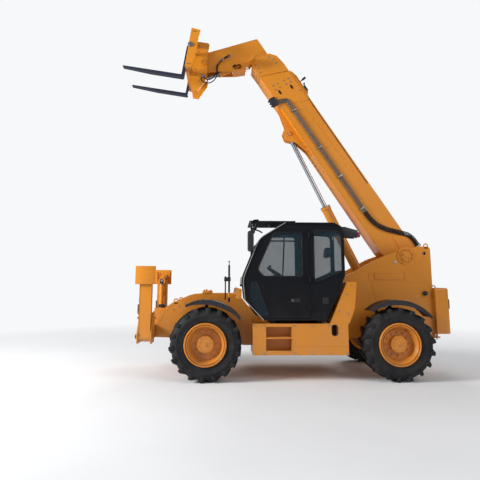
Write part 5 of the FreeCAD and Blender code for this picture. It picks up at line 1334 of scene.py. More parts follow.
class HANDLER_OT_side_plates(Operator):
    """Pivot covers, weld seams, inspection holes, bolts and reflectors of the two side plates"""
    bl_idname = "handler.side_plates"
    bl_label = "Side plates"

    def execute(self, context):
        self.pivots()
        self.seams()
        self.bolts()
        self.rear_lights()
        return {"FINISHED"}

    def pivots(self):
        """Stepped ring around each boss, keeper plate over the pin, a dark hole and a blank raised plate."""
        rings = Form()
        keepers = Form()
        holes = Form()
        rows = []
        for side, out in SIDES:
            middle = PIVOT + out * 0.472
            rings.lathe(((0.158, -0.014), (0.158, -0.004), (0.15, 0.002), (0.122, 0.002), (0.118, -0.003)),
                        middle, out, steps=72)
            rings.ring(middle - out * 0.012, out, 0.162, 0.006, steps=72, sides=8)
            keepers.block(middle + out * 0.021, (0.15, 0.006, 0.036), 0.002, tilt(0.5))
            rows += [(middle + out * 0.024 + tilt(0.5) @ Vector((shift, 0, 0)), out, 0.01)
                     for shift in (-0.055, 0.055)]
            rows += [(middle + Vector((0.136 * math.cos(a), side * 0.002, 0.136 * math.sin(a))), out,
                      0.009) for a in [2 * math.pi * k / 8 + 0.3 for k in range(8)]]
            for ahead, up, radius in ((-345, 54, 0.03),):
                place = beside_pivot(ahead, side * 460, up)
                holes.rod(place - out * 0.002, place + out * 0.0012, radius, sides=40)
                rings.ring(place + out * 0.001, out, radius + 0.002, 0.0024, steps=40, sides=6)
            # Blank raised plate with a folded rim
            for middle, size in (((305, -360), (0.56, 0.12)), ((305, -304), (0.572, 0.012)),
                                 ((305, -416), (0.572, 0.012)), ((28, -360), (0.014, 0.124)),
                                 ((582, -360), (0.014, 0.124))):
                thick = 0.005 if size == (0.56, 0.12) else 0.012
                keepers.block(beside_pivot(middle[0], side * (460 + thick * 500), middle[1]),
                              (size[0], thick, size[1]), 0.0016)
        rings.piece("Pivot_rings")
        keepers.piece("Pin_keeper_plates")
        holes.piece("Plate_holes", "shadow")
        bolt_piece("Pivot_bolts", rows, "paint")

    def seams(self):
        """Weld beads where the belly plates, deck and saddles meet the side plates, and the panel lines."""
        beads = []
        for side in (-1, 1):
            y = side * 0.4602
            for rows in (((-345, 160), (-330, 40), (-345, -75)), ((-60, -460), (-420, -460), (-420, -700)),
                         ((470, -250), (640, -520), (560, -860))):
                beads.append([beside_pivot(ahead, y * 1000, up) for ahead, up in rows])
            beads.append([at(-860, y * 1000, 880), at(-760, y * 1000, 1090), at(-600, y * 1000, 1200)])
        bead_piece("Plate_seams", beads, 0.0036)
        beads = []
        for side in (-1, 1):
            for y in (side * 437, side * 300):
                beads.append([at(-640, y, 1146), at(540, y, 1146)])
            beads.append([at(-905, side * 462, 862), at(-905, side * 462, 660)])
            beads.append([at(CROSS_WALL_X, side * 436, 1225), at(CROSS_WALL_X, side * 436, 1085)])
        bead_piece("Deck_beads", beads, 0.0045)

    def bolts(self):
        rows = []
        for place, out in both(((-150, 460, 1010), (-70, 460, 1010), (70, 460, 1010), (150, 460, 1010),
                                (3010, 460, 1010), (3090, 460, 1010), (3230, 460, 1010),
                                (3310, 460, 1010))):
            rows.append((place, out, 0.014))
        for place, out in both(((-610, 460, 1120), (-510, 460, 1170), (-400, 460, 1220), (3760, 460, 900),
                                (3760, 460, 1300), (3900, 460, 2120), (3660, 460, 2120))):
            rows.append((place, out, 0.01))
        bolt_piece("Side_bolts", rows)
        rows = [(at(x, y, z), -UP, 0.011)
                for x0, x1, z in ((-850, -360, 660), (360, 2800, 610), (3500, 3980, 735))
                for x in (x0, (x0 * 2 + x1) / 3, (x0 + x1 * 2) / 3, x1) for y in (-380, 380)]
        bolt_piece("Belly_bolts", rows)

    def rear_lights(self):
        """Small clear light and amber reflector by the pivot, tail lamps and the filler cap."""
        form = Form()
        form.block(beside_pivot(200, -466, -109), (0.062, 0.014, 0.036), 0.006, segments=3)
        form.piece("Side_light", "clear")
        form.block(beside_pivot(128, -465, -36), (0.07, 0.01, 0.026), 0.004, segments=3)
        for side in (-1, 1):
            form.block(at(4336, side * 430, 1250), (0.016, 0.11, 0.06), 0.007, segments=3)
        form.piece("Amber_lights", "amber")
        for side in (-1, 1):
            form.block(at(4336, side * 430, 1180), (0.016, 0.11, 0.07), 0.007, segments=3)
            form.rod(at(4330, side * 300, 1205), at(4341, side * 300, 1205), 0.034, sides=40, bevel=0.004)
        form.block(at(2652, -760, 2425), (0.06, 0.11, 0.09), 0.014, segments=3)
        form.piece("Red_lights", "red")
        for side in (-1, 1):
            form.block(at(4329, side * 430, 1215), (0.014, 0.136, 0.168), 0.006, segments=3)
        form.block(at(2618, -760, 2425), (0.014, 0.134, 0.112), 0.004)
        hood = [(2306, 2560), (2400, 2556), (2630, 2492), (2608, 2364), (2470, 2372), (2312, 2420)]
        for y in (-850, -660):
            form.plate([at(x, y, z) for x, z in hood], 0.008, 0.002)
        turn = Matrix.Rotation(math.atan2(64, 230), 3, "Y")
        form.block(at(2510, -751, 2524), (0.25, 0.19, 0.008), 0.002, turn)
        form.piece("Lamp_backs", "plastic")
        arms = [[at(2300, y, 2440), at(2420, y, 2452), at(2540, y, 2440), at(2616, -760, 2425)]
                for y in (-820, -690)]
        tube_piece("Rear_lamp_arms", arms, 0.011, "cab_black")
        knob = at(3915, -460, 1405)
        form.lathe(((0.0, 0.058), (0.03, 0.056), (0.04, 0.042), (0.04, 0.02), (0.034, 0.014), (0.034, 0.0)),
                   knob, LEFT, steps=40)
        for k in range(10):
            angle = 2 * math.pi * k / 10
            rib = knob + Vector((0.04 * math.cos(angle), -0.031, 0.04 * math.sin(angle)))
            form.rod(rib - LEFT * 0.01, rib + LEFT * 0.01, 0.0045, sides=10)
        form.piece("Filler_cap", "plastic")


class HANDLER_OT_front_end(Operator):
    """Deck fittings, lamps' glass, marker posts, nose beam bolts and tie-down rings"""
    bl_idname = "handler.front_end"
    bl_label = "Front end"

    def execute(self, context):
        self.lamps()
        self.deck()
        return {"FINISHED"}

    def lamps(self):
        lenses = Form()
        bezels = Form()
        ambers = Form()
        rows = []
        for side in (-1, 1):
            middle = at(500, side * 985, 1405)
            lenses.lathe(((0.0, 0.02), (0.02, 0.019), (0.044, 0.008)), middle + UP * 0.02, AHEAD, steps=48)
            bezels.lathe(((0.042, 0.006), (0.044, 0.014), (0.05, 0.014), (0.053, 0.0), (0.052, -0.01)),
                         middle + UP * 0.02, AHEAD, steps=48)
            ambers.block(middle - UP * 0.058 + AHEAD * 0.004, (0.012, 0.086, 0.03), 0.005, segments=3)
            rows += [(at(545, side * 1041, z), Vector((0, side, 0)), 0.007) for z in (1350, 1460)]
        lenses.piece("Head_lamp_lenses", "clear")
        bezels.piece("Head_lamp_bezels", "chrome")
        ambers.piece("Front_indicators", "amber")
        bolt_piece("Lamp_screws", rows)
        form = Form()
        form.lathe(((0.014, 0.0), (0.018, 0.006), (0.018, 0.07), (0.012, 0.078)), at(380, -1000, 1262), UP,
                   steps=32)
        form.rod(at(380, -1000, 1925), at(380, -1000, 1945), 0.014, sides=24, bevel=0.005)
        form.rod(at(380, -1000, 1420), at(380, -1000, 1880), 0.0165, sides=28, bevel=0.002)
        form.block(at(352, -1000, 1640), (0.11, 0.034, 0.07), 0.006, segments=3)
        form.rod(at(318, -1000, 1300), at(318, -1000, 1690), 0.011, sides=24, bevel=0.002)
        form.piece("Post_ends", "rubber")

    def deck(self):
        """Lifting eyes, deck cover with its handles, hose bracket and the bolts of the nose beam."""
        form = Form()
        for x, z in ((-560, 1262), (3985, 2262)):
            for side in (-1, 1):
                form.ring(at(x, side * 449, z), (0, 1, 0), 0.036, 0.011, steps=40, sides=12)
                form.block(at(x, side * 449, z - 38), (0.07, 0.022, 0.03), 0.004)
        form.piece("Lifting_eyes")
        form.block(at(-60, 0, 1147.5), (0.9, 0.56, 0.006), 0.002)
        for side in (-1, 1):
            form.block(at(-60, side * 170, 1153), (0.16, 0.03, 0.01), 0.004, segments=3)
        form.piece("Deck_cover")
        rows = [(at(x, y, 1150.5), UP, 0.009) for x in (-480, -200, 80, 360) for y in (-250, 250)]
        rows += [(at(-1066, y, z), AHEAD, 0.015) for y in (-680, -560, 560, 680) for z in (690, 810)]
        rows += [(at(-946, y, z), AHEAD, 0.013) for y in (-200, -100, 100, 200) for z in (700, 800)]
        bolt_piece("Front_bolts", rows)
        for side in (-1, 1):
            place = at(-1066, side * 400, 740)
            form.block(place, (0.01, 0.09, 0.11), 0.003)
            form.ring(place + AHEAD * 0.014, (0, 1, 0), 0.04, 0.011, steps=40, sides=12)
        form.piece("Tie_rings", "steel")
        for side in (-1, 1):
            form.block(at(-20, side * 452, 1412), (0.15, 0.04, 0.044), 0.008, segments=3)
            form.rod(at(-62, side * 452, 1430), at(-62, side * 452, 1462), 0.018, sides=24, bevel=0.004)
            form.rod(at(20, side * 452, 1430), at(20, side * 452, 1452), 0.014, sides=24, bevel=0.003)
        form.piece("Deck_fittings")


class HANDLER_OT_step_box(Operator):
    """Treads with grip studs, panel joints, grip rim and drain plugs of the tank box"""
    bl_idname = "handler.step_box"
    bl_label = "Step box"

    def execute(self, context):
        form = Form()
        for z in (470, 701):
            for k in range(9):
                for row in range(3):
                    place = at(1030 + 42 * k, BOX_SIDE + 40 + 60 * row, z + 1)
                    form.lathe(((0.0125, 0.0), (0.0115, 0.004), (0.0075, 0.0045), (0.006, 0.001)), place,
                               UP, 16)
        form.piece("Tread_studs")
        for z in (480, 690):
            form.block(at(1200, BOX_SIDE + 3, z), (0.418, 0.01, 0.022), 0.003)
        form.piece("Tread_edges")
        rim = rounded([(2070, 730, 44), (2160, 730, 44), (2160, 900, 44), (2070, 900, 44)])
        loop = [at(x, BOX_SIDE - 1, z) for x, z in rim]
        tube_piece("Grip_rim", [loop], 0.006, "rubber", smooth=False, closed=True)
        form.plate([at(x, BOX_SIDE + 56, z) for x, z in rounded([(2074, 734, 42), (2156, 734, 42),
                                                                 (2156, 896, 42), (2074, 896, 42)])], 0.003)
        form.piece("Grip_inside", "shadow")
        beads = [
            [at(984, BOX_SIDE - 0.5, 424), at(984, BOX_SIDE - 0.5, 914)],
            [at(1416, BOX_SIDE - 0.5, 424), at(1416, BOX_SIDE - 0.5, 914)],
            [at(1416, BOX_SIDE - 0.5, 560), at(2334, BOX_SIDE - 0.5, 560)],
            [at(2046, BOX_SIDE - 0.5, 921), at(2342, BOX_SIDE - 0.5, 921)],
        ]
        bead_piece("Box_joints", beads, 0.0028)
        rows = [(at(x, BOX_SIDE, z), LEFT, 0.01) for x in (800, 950, 1450, 1740, 2030, 2300)
                for z in (450, 890) if not (x == 2300 and z == 890)]
        rows += [(at(x, BOX_SIDE, z), LEFT, 0.01)
                 for x, z in ((2200, 1120), (2330, 1400), (2420, 1540), (2350, 1080))]
        bolt_piece("Box_bolts", rows)
        for x, y in ((1600, -800), (2150, -800), (850, -800)):
            form.rod(at(x, y, 421), at(x, y, 408), 0.022, sides=6)
            form.rod(at(x, y, 420), at(x, y, 416), 0.032, sides=32)
        form.piece("Drain_plugs", "steel", smooth=30)
        return {"FINISHED"}


class HANDLER_OT_engine_cover(Operator):
    """Latches, hinges, louvre blades, wire screen, intake and the exhaust's flap"""
    bl_idname = "handler.engine_cover"
    bl_label = "Engine cover"

    def execute(self, context):
        form = Form()
        for i in range(9):
            x = 1790 + i * 62
            form.block(at(x + 20, HOOD_SIDE - 3, 960), (0.032, 0.003, 0.396), 0.001, tilt(0.7, "Z"))
        form.piece("Louvre_blades")
        for k in range(56):
            form.rod(at(1780 + k * 10.6, HOOD_SIDE - 26, 758), at(1780 + k * 10.6, HOOD_SIDE - 26, 1162),
                     0.0011, sides=6)
        for k in range(40):
            form.rod(at(1776, HOOD_SIDE - 28, 760 + k * 10.2), at(2380, HOOD_SIDE - 28, 760 + k * 10.2),
                     0.0011, sides=6)
        form.piece("Wire_screen", "steel")
        for x in (960, 1500, 2300):
            form.block(at(x, HOOD_SIDE + 6, 1180), (0.06, 0.018, 0.09), 0.008, segments=3)
            form.block(at(x, HOOD_SIDE + 18, 1200), (0.03, 0.014, 0.04), 0.005, segments=3)
        for x in (1000, 1600, 2200):
            form.rod(at(x - 60, 512, 1484), at(x + 60, 512, 1484), 0.01, sides=20)
            form.block(at(x, 545, 1483), (0.11, 0.06, 0.006), 0.002)
        form.piece("Cover_latches", "plastic")
        beads = [[at(840, HOOD_SIDE + 1, 1254), at(1690, HOOD_SIDE + 1, 1254)],
                 [at(1690, HOOD_SIDE + 1, 570), at(1690, HOOD_SIDE + 1, 1254),
                  at(1690, HOOD_SIDE - 128, 1458)],
                 [at(1240, HOOD_SIDE + 1, 570), at(1240, HOOD_SIDE + 1, 1254)]]
        bead_piece("Cover_joints", beads, 0.003, finish="shadow")
        rows = [(at(x, HOOD_SIDE, z), -LEFT, 0.009) for x in (830, 1210, 1270, 1660, 1720, 2400)
                for z in (600, 1220)]
        bolt_piece("Cover_bolts", rows)
        form.lathe(((0.045, 0.0), (0.06, 0.012), (0.06, 0.05), (0.1, 0.066), (0.104, 0.08), (0.098, 0.15),
                    (0.07, 0.178), (0.0, 0.186)), at(1500, 800, 1480), UP, steps=56)
        form.ring(at(1500, 800, 1556), UP, 0.104, 0.006, steps=56, sides=8)
        form.piece("Air_intake", "plastic")
        form.lathe(((0.078, 0.0), (0.082, 0.01), (0.082, 0.078), (0.074, 0.094), (0.047, 0.1)),
                   at(1980, 800, 1480), UP, steps=48)
        form.ring(at(1980, 800, 1878), UP, 0.0425, 0.0042, steps=40, sides=8)
        form.ring(at(1980, 800, 1700), UP, 0.048, 0.005, steps=40, sides=8)
        lid = form.rod((0.049, 0, -0.002), (0.049, 0, 0.002), 0.049, sides=40)
        form.move(lid, at(1931, 800, 1890), tilt(-0.5))
        form.rod(at(1930, 760, 1886), at(1930, 840, 1886), 0.006, sides=16)
        form.block(at(1912, 800, 1868), (0.04, 0.02, 0.034), 0.003)
        form.piece("Exhaust_fittings", "cast")
        self.engine()
        return {"FINISHED"}

    def engine(self):
        """Rocker cover, manifold, filters, alternator, belt drive and hoses on the plain engine block."""
        form = Form()
        form.block(at(1540, 770, 1344), (0.64, 0.23, 0.044), 0.016, segments=3)
        for x in (1290, 1540, 1790):
            form.lathe(((0.03, 0.0), (0.03, 0.016), (0.022, 0.026), (0.0, 0.028)), at(x, 770, 1364), UP,
                       steps=32)
        for x in (1260, 1420):
            form.lathe(((0.0, 0.0), (0.044, 0.006), (0.048, 0.03), (0.048, 0.13), (0.04, 0.146),
                        (0.0, 0.15)), at(x, 506, 930), UP, steps=40)
        form.piece("Engine_covers", "plastic")
        form.rod(at(1210, 505, 1262), at(1880, 505, 1262), 0.034, sides=32, bevel=0.006)
        for x in range(1250, 1851, 120):
            form.rod(at(x, 612, 1262), at(x, 520, 1262), 0.024, sides=24)
            form.block(at(x, 604, 1262), (0.074, 0.014, 0.074), 0.004)
        form.rod(at(1860, 505, 1270), at(1980, 760, 1478), 0.036, sides=28)
        form.piece("Engine_manifold", "steel")
        for y, z, radius in ((770, 760, 0.1), (770, 1060, 0.076), (600, 950, 0.05)):
            form.rod(at(1082, y, z), at(1046, y, z), radius, sides=48, bevel=0.004)
            form.ring(at(1052, y, z), AHEAD, radius + 0.001, 0.003, steps=48, sides=6)
            form.rod(at(1046, y, z), at(1034, y, z), 0.018, sides=6)
        form.lathe(((0.0, 0.0), (0.06, 0.006), (0.068, 0.02), (0.068, 0.11), (0.056, 0.13), (0.0, 0.134)),
                   at(1092, 600, 950), -AHEAD, steps=40)
        form.piece("Belt_wheels", "steel", smooth=30)
        belt = [at(1060, 670, 760), at(1060, 718, 676), at(1060, 820, 676), at(1060, 868, 760),
                at(1060, 846, 1060), at(1060, 800, 1130), at(1060, 740, 1130), at(1060, 560, 984),
                at(1060, 560, 916)]
        tube_piece("Fan_belt", [belt], 0.009, "rubber", closed=True, corners=4)
        hoses = [[at(1440, 506, 1080), at(1460, 495, 1150), at(1560, 490, 1180), at(1700, 490, 1120),
                  at(1780, 500, 960), at(1790, 530, 860)],
                 [at(1240, 506, 930), at(1200, 500, 860), at(1180, 500, 760), at(1240, 510, 660),
                  at(1300, 530, 640)], [at(1600, 530, 700), at(1640, 495, 760), at(1660, 490, 900),
                                        at(1620, 495, 1040), at(1600, 530, 1100)]]
        tube_piece("Engine_hoses", hoses, 0.014, "rubber")
        rows = [(at(x, 540, z), LEFT, 0.01) for x in range(1120, 1961, 120) for z in (620, 1150)]
        rows += [(at(x, y, 1366), UP, 0.008) for x in (1250, 1400, 1680, 1830) for y in (680, 860)]
        bolt_piece("Engine_bolts", rows)


class HANDLER_OT_counterweight(Operator):
    """Casting's edge bead, bolts, tow pin and rear hook of the counterweight"""
    bl_idname = "handler.counterweight"
    bl_label = "Counterweight"

    def execute(self, context):
        form = Form()
        for z in (590, 660):
            form.block(at(4284, 0, z), (0.09, 0.15, 0.026), 0.006, segments=3)
        form.block(at(4226, 0, 638), (0.03, 0.15, 0.134), 0.005)
        form.piece("Tow_jaw")
        form.rod(at(4296, 0, 560), at(4296, 0, 680), 0.016, sides=28, bevel=0.004)
        form.rod(at(4296, 0, 673), at(4296, 0, 685), 0.028, sides=32, bevel=0.004)
        form.ring(at(4296, 0, 552), (0, 1, 0), 0.014, 0.004, steps=32, sides=8)
        form.piece("Tow_pin", "steel")
        rows = [(at(4331, side * y, z), (1, 0, 0), 0.02) for side in (-1, 1)
                for y, z in ((170, 940), (170, 1400), (400, 940), (400, 1400))]
        bolt_piece("Weight_bolts", rows)
        for side in (-1, 1):
            form.ring(at(4150, side * 300, 1506), (0, 1, 0), 0.034, 0.01, steps=40, sides=12)
        form.piece("Weight_eyes", "steel")
        beads = [[at(4100, side * 561, 1440), at(4220, side * 561, 1440)] for side in (-1, 1)]
        beads += [[at(4100, side * 561, 760), at(4220, side * 561, 760)] for side in (-1, 1)]
        beads += [[at(4331, -420, 1100), at(4331, 420, 1100)]]
        bead_piece("Weight_lines", beads, 0.004)
        return {"FINISHED"}


# Running gear: cylinders, legs, axles, mudguards and forks


AXLE_Z = 590.0
KINGPIN_SIDE = 830.0
YOKE_TOP = 161.0
HALF_TRACK = 0.975

# Mudguards, in metres
GUARD_RADIUS = 0.707
GUARD_OUTSIDE = 1.184
GUARD_INSIDE = 0.802
GUARD_THICK = 0.008
GUARD_LIP = 0.074
GUARD_STEPS = 28

RAMS = (
    # name, swing joint, slide joint, barrel's body, barrel's length, its radius, rod's radius
    ("Lift", "lift_barrel_swing", "lift_rod_slide", "lift_barrel_body", 1.9, 0.09, 0.042),
    ("Tilt", "tilt_barrel_swing", "tilt_rod_slide", "tilt_barrel_body", 0.56, 0.062, 0.03),
    ("Leg_left", "leg_barrel_left_swing", "leg_rod_left_slide", "leg_barrel_left_body", 0.57, 0.042, 0.024),
    ("Leg_right", "leg_barrel_right_swing", "leg_rod_right_slide", "leg_barrel_right_body", 0.57, 0.042,
     0.024),
)

# Radius and place along the leg cylinder
LEG_SLEEVE = ((0.0245, 0.41), (0.042, 0.41), (0.042, 0.571), (0.0245, 0.571), (0.0245, 0.41))
LEG_WIPER = ((0.0245, 0.573), (0.0285, 0.573), (0.0285, 0.603), (0.0265, 0.606), (0.0245, 0.606))


class HANDLER_OT_rams(Operator):
    """Glands, ports, pipes and grease nipples of the cylinders"""
    bl_idname = "handler.rams"
    bl_label = "Cylinders"

    def execute(self, context):
        for name, swing, slide, body, length, barrel_r, rod_r in RAMS:
            base = Vector(JOINTS[swing]["pos_m"])
            way = Vector(JOINTS[slide]["axis"]).normalized()
            across = Vector(JOINTS[swing]["axis"]).normalized()
            self.dress(name, body, base, way, across, (length, barrel_r, rod_r))
        return {"FINISHED"}

    def dress(self, name, body, base, way, across, sizes):
        """One cylinder from its base pin along way; across is the pin's direction."""
        length, barrel_r, rod_r = sizes
        side = -across
        above = across.cross(way).normalized()
        end = base + way * length
        form = Form()
        form.lathe(((rod_r + 0.001, 0.004), (barrel_r - 0.006, 0.004), (barrel_r + 0.002, 0.0),
                    (barrel_r + 0.009, 0.0), (barrel_r + 0.009, -0.014), (barrel_r + 0.0085, -0.016)), end,
                   way, steps=56)
        form.piece(name + "_gland", "steel", body)
        head = 0.006 if barrel_r > 0.05 else 0.004
        for k in range(8):
            angle = 2 * math.pi * k / 8 + 0.2
            ring = across * math.cos(angle) + above * math.sin(angle)
            form.bolt(end + ring * (barrel_r - 0.012) + way * 0.003, way, head)
        form.piece(name + "_gland_bolts", "zinc", body, 30)
        for reach in (0.16, length - 0.062):
            form.ring(base + way * reach, way, barrel_r, 0.0045, steps=48, sides=8)
        ports = [base + way * reach + side * barrel_r for reach in (0.13 + barrel_r * 0.5, length - 0.085)]
        for port in ports:
            form.rod(port - side * 0.006, port + side * 0.02, 0.016, sides=28, bevel=0.002)
        form.piece(name + "_welds", "paint", body)
        lift = side * 0.034
        pipe = [ports[1] + side * 0.018, ports[1] + lift, ports[1] + lift - way * 0.03,
                ports[0] + lift + way * 0.03, ports[0] + lift, ports[0] + side * 0.018]
        tube_piece(name + "_pipe", [pipe], 0.0065, "pipe", body, corners=4)
        for port in ports:
            form.rod(port + side * 0.018, port + side * 0.03, 0.011, sides=6)
        form.rod(base - way * (barrel_r * 0.6), base - way * (barrel_r * 0.6 + 0.012), 0.006, sides=6)
        form.piece(name + "_nuts", "zinc", body, 30)
        if name.startswith("Leg"):
            self.lengthen(name, body, base, way, side)

    def lengthen(self, name, body, base, way, side):
        """Longer barrel of a leg's cylinder, its wiper, the rod inside it and the valve block below."""
        form = Form()
        form.lathe(LEG_SLEEVE, base, way, steps=56)
        form.piece(name + "_sleeve", "paint", body, 40)
        form.lathe(LEG_WIPER, base, way, steps=48)
        form.piece(name + "_wiper", "rubber", body, 40)
        form.rod(base + way * 0.018, base + way * 0.222, 0.0232, sides=48)
        form.piece(name + "_rod_end", "chrome", body.replace("barrel", "rod"), 40)
        turn = tilt(math.atan2(-way.y, way.z), "X")
        block = base + way * 0.128
        form.block(block, (0.104, 0.094, 0.058), 0.008, turn, 3)
        for shift in (-0.032, 0.032):
            foot = block + Vector((shift, 0, 0))
            form.rod(foot, foot + side * 0.054, 0.014, sides=20, bevel=0.003)
        form.piece(name + "_valve_block", "plastic", body)


class HANDLER_OT_legs(Operator):
    """Weld seams, valves, hinge washers, pad ribs and pins of the two fold-up legs"""
    bl_idname = "handler.legs"
    bl_label = "Legs"

    def execute(self, context):
        for label, side in (("left", -1), ("right", 1)):
            leg, pad = f"leg_{label}_body", f"pad_{label}_body"
            beads = []
            for x in (-1100, -910):
                beads.append([at(x, side * 1041, 790), at(x, side * 1041, 1640)])
                beads.append([at(x, side * 909, 790), at(x, side * 909, 1640)])
            beads.append([at(-1098, side * 1041, 1644), at(-912, side * 1041, 1644)])
            bead_piece("Leg_seams_" + label, beads, 0.004, body=leg)
            form = Form()
            form.block(at(-1102, side * 975, 1150), (0.006, 0.1, 0.33), 0.002)
            form.piece("Leg_plates_" + label, "paint", leg)
            rows = [(at(-1105, side * y, z), AHEAD, 0.009) for y in (940, 1010) for z in (1005, 1295)]
            bolt_piece("Leg_bolts_" + label, rows, body=leg)
            form.block(at(-1118, side * 965, 1150), (0.034, 0.06, 0.15), 0.008, segments=3)
            form.rod(at(-1118, side * 965, 1072), at(-1118, side * 965, 1055), 0.012, sides=20)
            form.piece("Leg_valve_" + label, "plastic", leg)
            for x, y in ((-1140, 1026), (-1088, 1049), (-932, 1049), (-880, 1026)):
                rib = [at(x, side * 1060, 1570), at(x, side * 1060, 1840), at(x, side * y, 1760),
                       at(x, side * y, 1650)]
                form.plate(rib, 0.01, 0.001)
            form.piece("Pad_ribs_" + label, "paint", pad)
            form.block(at(-1005, side * 1084, 1705), (0.322, 0.006, 0.292), 0.002)
            form.piece("Pad_soles_" + label, "paint", pad)
            for x, way in ((-1082, -1), (-928, 1)):
                form.rod(at(x, side * 985, 1705), at(x + way * 6, side * 985, 1705), 0.028, sides=32,
                         bevel=0.002)
                form.rod(at(x, side * 985 - 34, 1705), at(x, side * 985 + 34, 1705), 0.0035, sides=10)
            form.piece("Pad_pins_" + label, "zinc", pad)
            for x, way in ((-1147, -1), (-863, 1)):
                for y, z, radius in ((985, 705, 0.04), (825, 995, 0.026)):
                    form.rod(at(x, side * y, z), at(x + way * 8, side * y, z), radius, sides=36,
                             bevel=0.002)
            form.piece("Hinge_washers_" + label, "zinc")
            rows = [(at(-1155, side * y, z), AHEAD, 0.012) for y, z in ((985, 705), (825, 995))]
            bolt_piece("Hinge_bolts_" + label, rows)
        form = Form()
        form.block(at(-950, -709, 950), (0.11, 0.07, 0.15), 0.012, segments=3)
        form.rod(at(-950, -709, 1024), at(-950, -709, 1046), 0.02, sides=28, bevel=0.004)
        form.piece("Leg_lock_box", "plastic")
        return {"FINISHED"}


class HANDLER_OT_axles(Operator):
    """Differential ribs and covers, king pin caps, brake hoses, drive shafts and the drop box"""
    bl_idname = "handler.axles"
    bl_label = "Axles"

    def execute(self, context):
        wheelbase = (REAR_X - AXLE_X) * 1000
        for label, x, way in (("front", 0.0, 1), ("rear", wheelbase, -1)):
            form = Form()
            for y in (-120, 120):
                form.lathe(((0.176, -0.002), (0.176, 0.012), (0.14, 0.04), (0.104, 0.07), (0.096, 0.11)),
                           at(x, y, AXLE_Z), (0, math.copysign(1, y), 0), steps=56)
            nose = at(x + way * 150, 0, AXLE_Z)
            form.lathe(((0.118, 0.0), (0.112, 0.06), (0.08, 0.115), (0.06, 0.135), (0.0, 0.137)), nose,
                       (way, 0, 0), steps=48)
            for k in range(8):
                angle = 2 * math.pi * k / 8
                rib = Vector((0, math.cos(angle), math.sin(angle)))
                foot = nose + rib * 0.104 + Vector((way * 0.05, 0, 0))
                form.block(foot, (0.09, 0.01, 0.034), 0.003, tilt(angle - math.pi / 2, "X"))
            for side in (-1, 1):
                form.lathe(((0.052, 0.0), (0.05, 0.012), (0.03, 0.02), (0.0, 0.021)),
                           at(x, side * KINGPIN_SIDE, AXLE_Z - YOKE_TOP), -UP, steps=36)
            form.piece("Axle_castings_" + label)
            rows = []
            for side in (-1, 1):
                rows += [(at(x, side * 131, AXLE_Z) + Vector((0.165 * math.cos(a), 0, 0.165 * math.sin(a))),
                          Vector((0, side, 0)), 0.008) for a in [2 * math.pi * k / 12 for k in range(12)]]
            bolt_piece("Axle_bolts_" + label, rows)
            brakes = []
            for side in (-1, 1):
                brakes.append([at(x - way * 70, side * 100, AXLE_Z + 168),
                               at(x - way * 80, side * 180, AXLE_Z + 110),
                               at(x - way * 62, side * 380, AXLE_Z + 64),
                               at(x - way * 62, side * 640, AXLE_Z + 64)])
            tube_piece("Brake_lines_" + label, brakes, 0.0055, "pipe")
        form = Form()
        form.block(at(1620, 0, 548), (0.3, 0.26, 0.116), 0.03, segments=4)
        for x in (1466, 1774):
            form.rod(at(x, 0, 545), at(x + (6 if x < 1500 else -6), 0, 545), 0.056, sides=36)
        form.piece("Drop_box", "cast")
        for start, end in (((288, 0, AXLE_Z), (1462, 0, 545)),
                           ((1778, 0, 545), (wheelbase - 288, 0, AXLE_Z))):
            first, last = at(*start), at(*end)
            way = (last - first).normalized()
            form.rod(first + way * 0.07, last - way * 0.07, 0.032, sides=36)
            for tip, inward in ((first, way), (last, -way)):
                form.rod(tip, tip + inward * 0.012, 0.05, sides=32, bevel=0.002)
                form.block(tip + inward * 0.034, (0.044, 0.066, 0.03), 0.006)
                form.rod(tip + inward * 0.034 - UP * 0.04, tip + inward * 0.034 + UP * 0.04, 0.013,
                         sides=20)
                form.rod(tip + inward * 0.052, tip + inward * 0.08, 0.04, sides=28, tip=0.033)
        form.piece("Drive_shafts", "cast")
        return {"FINISHED"}


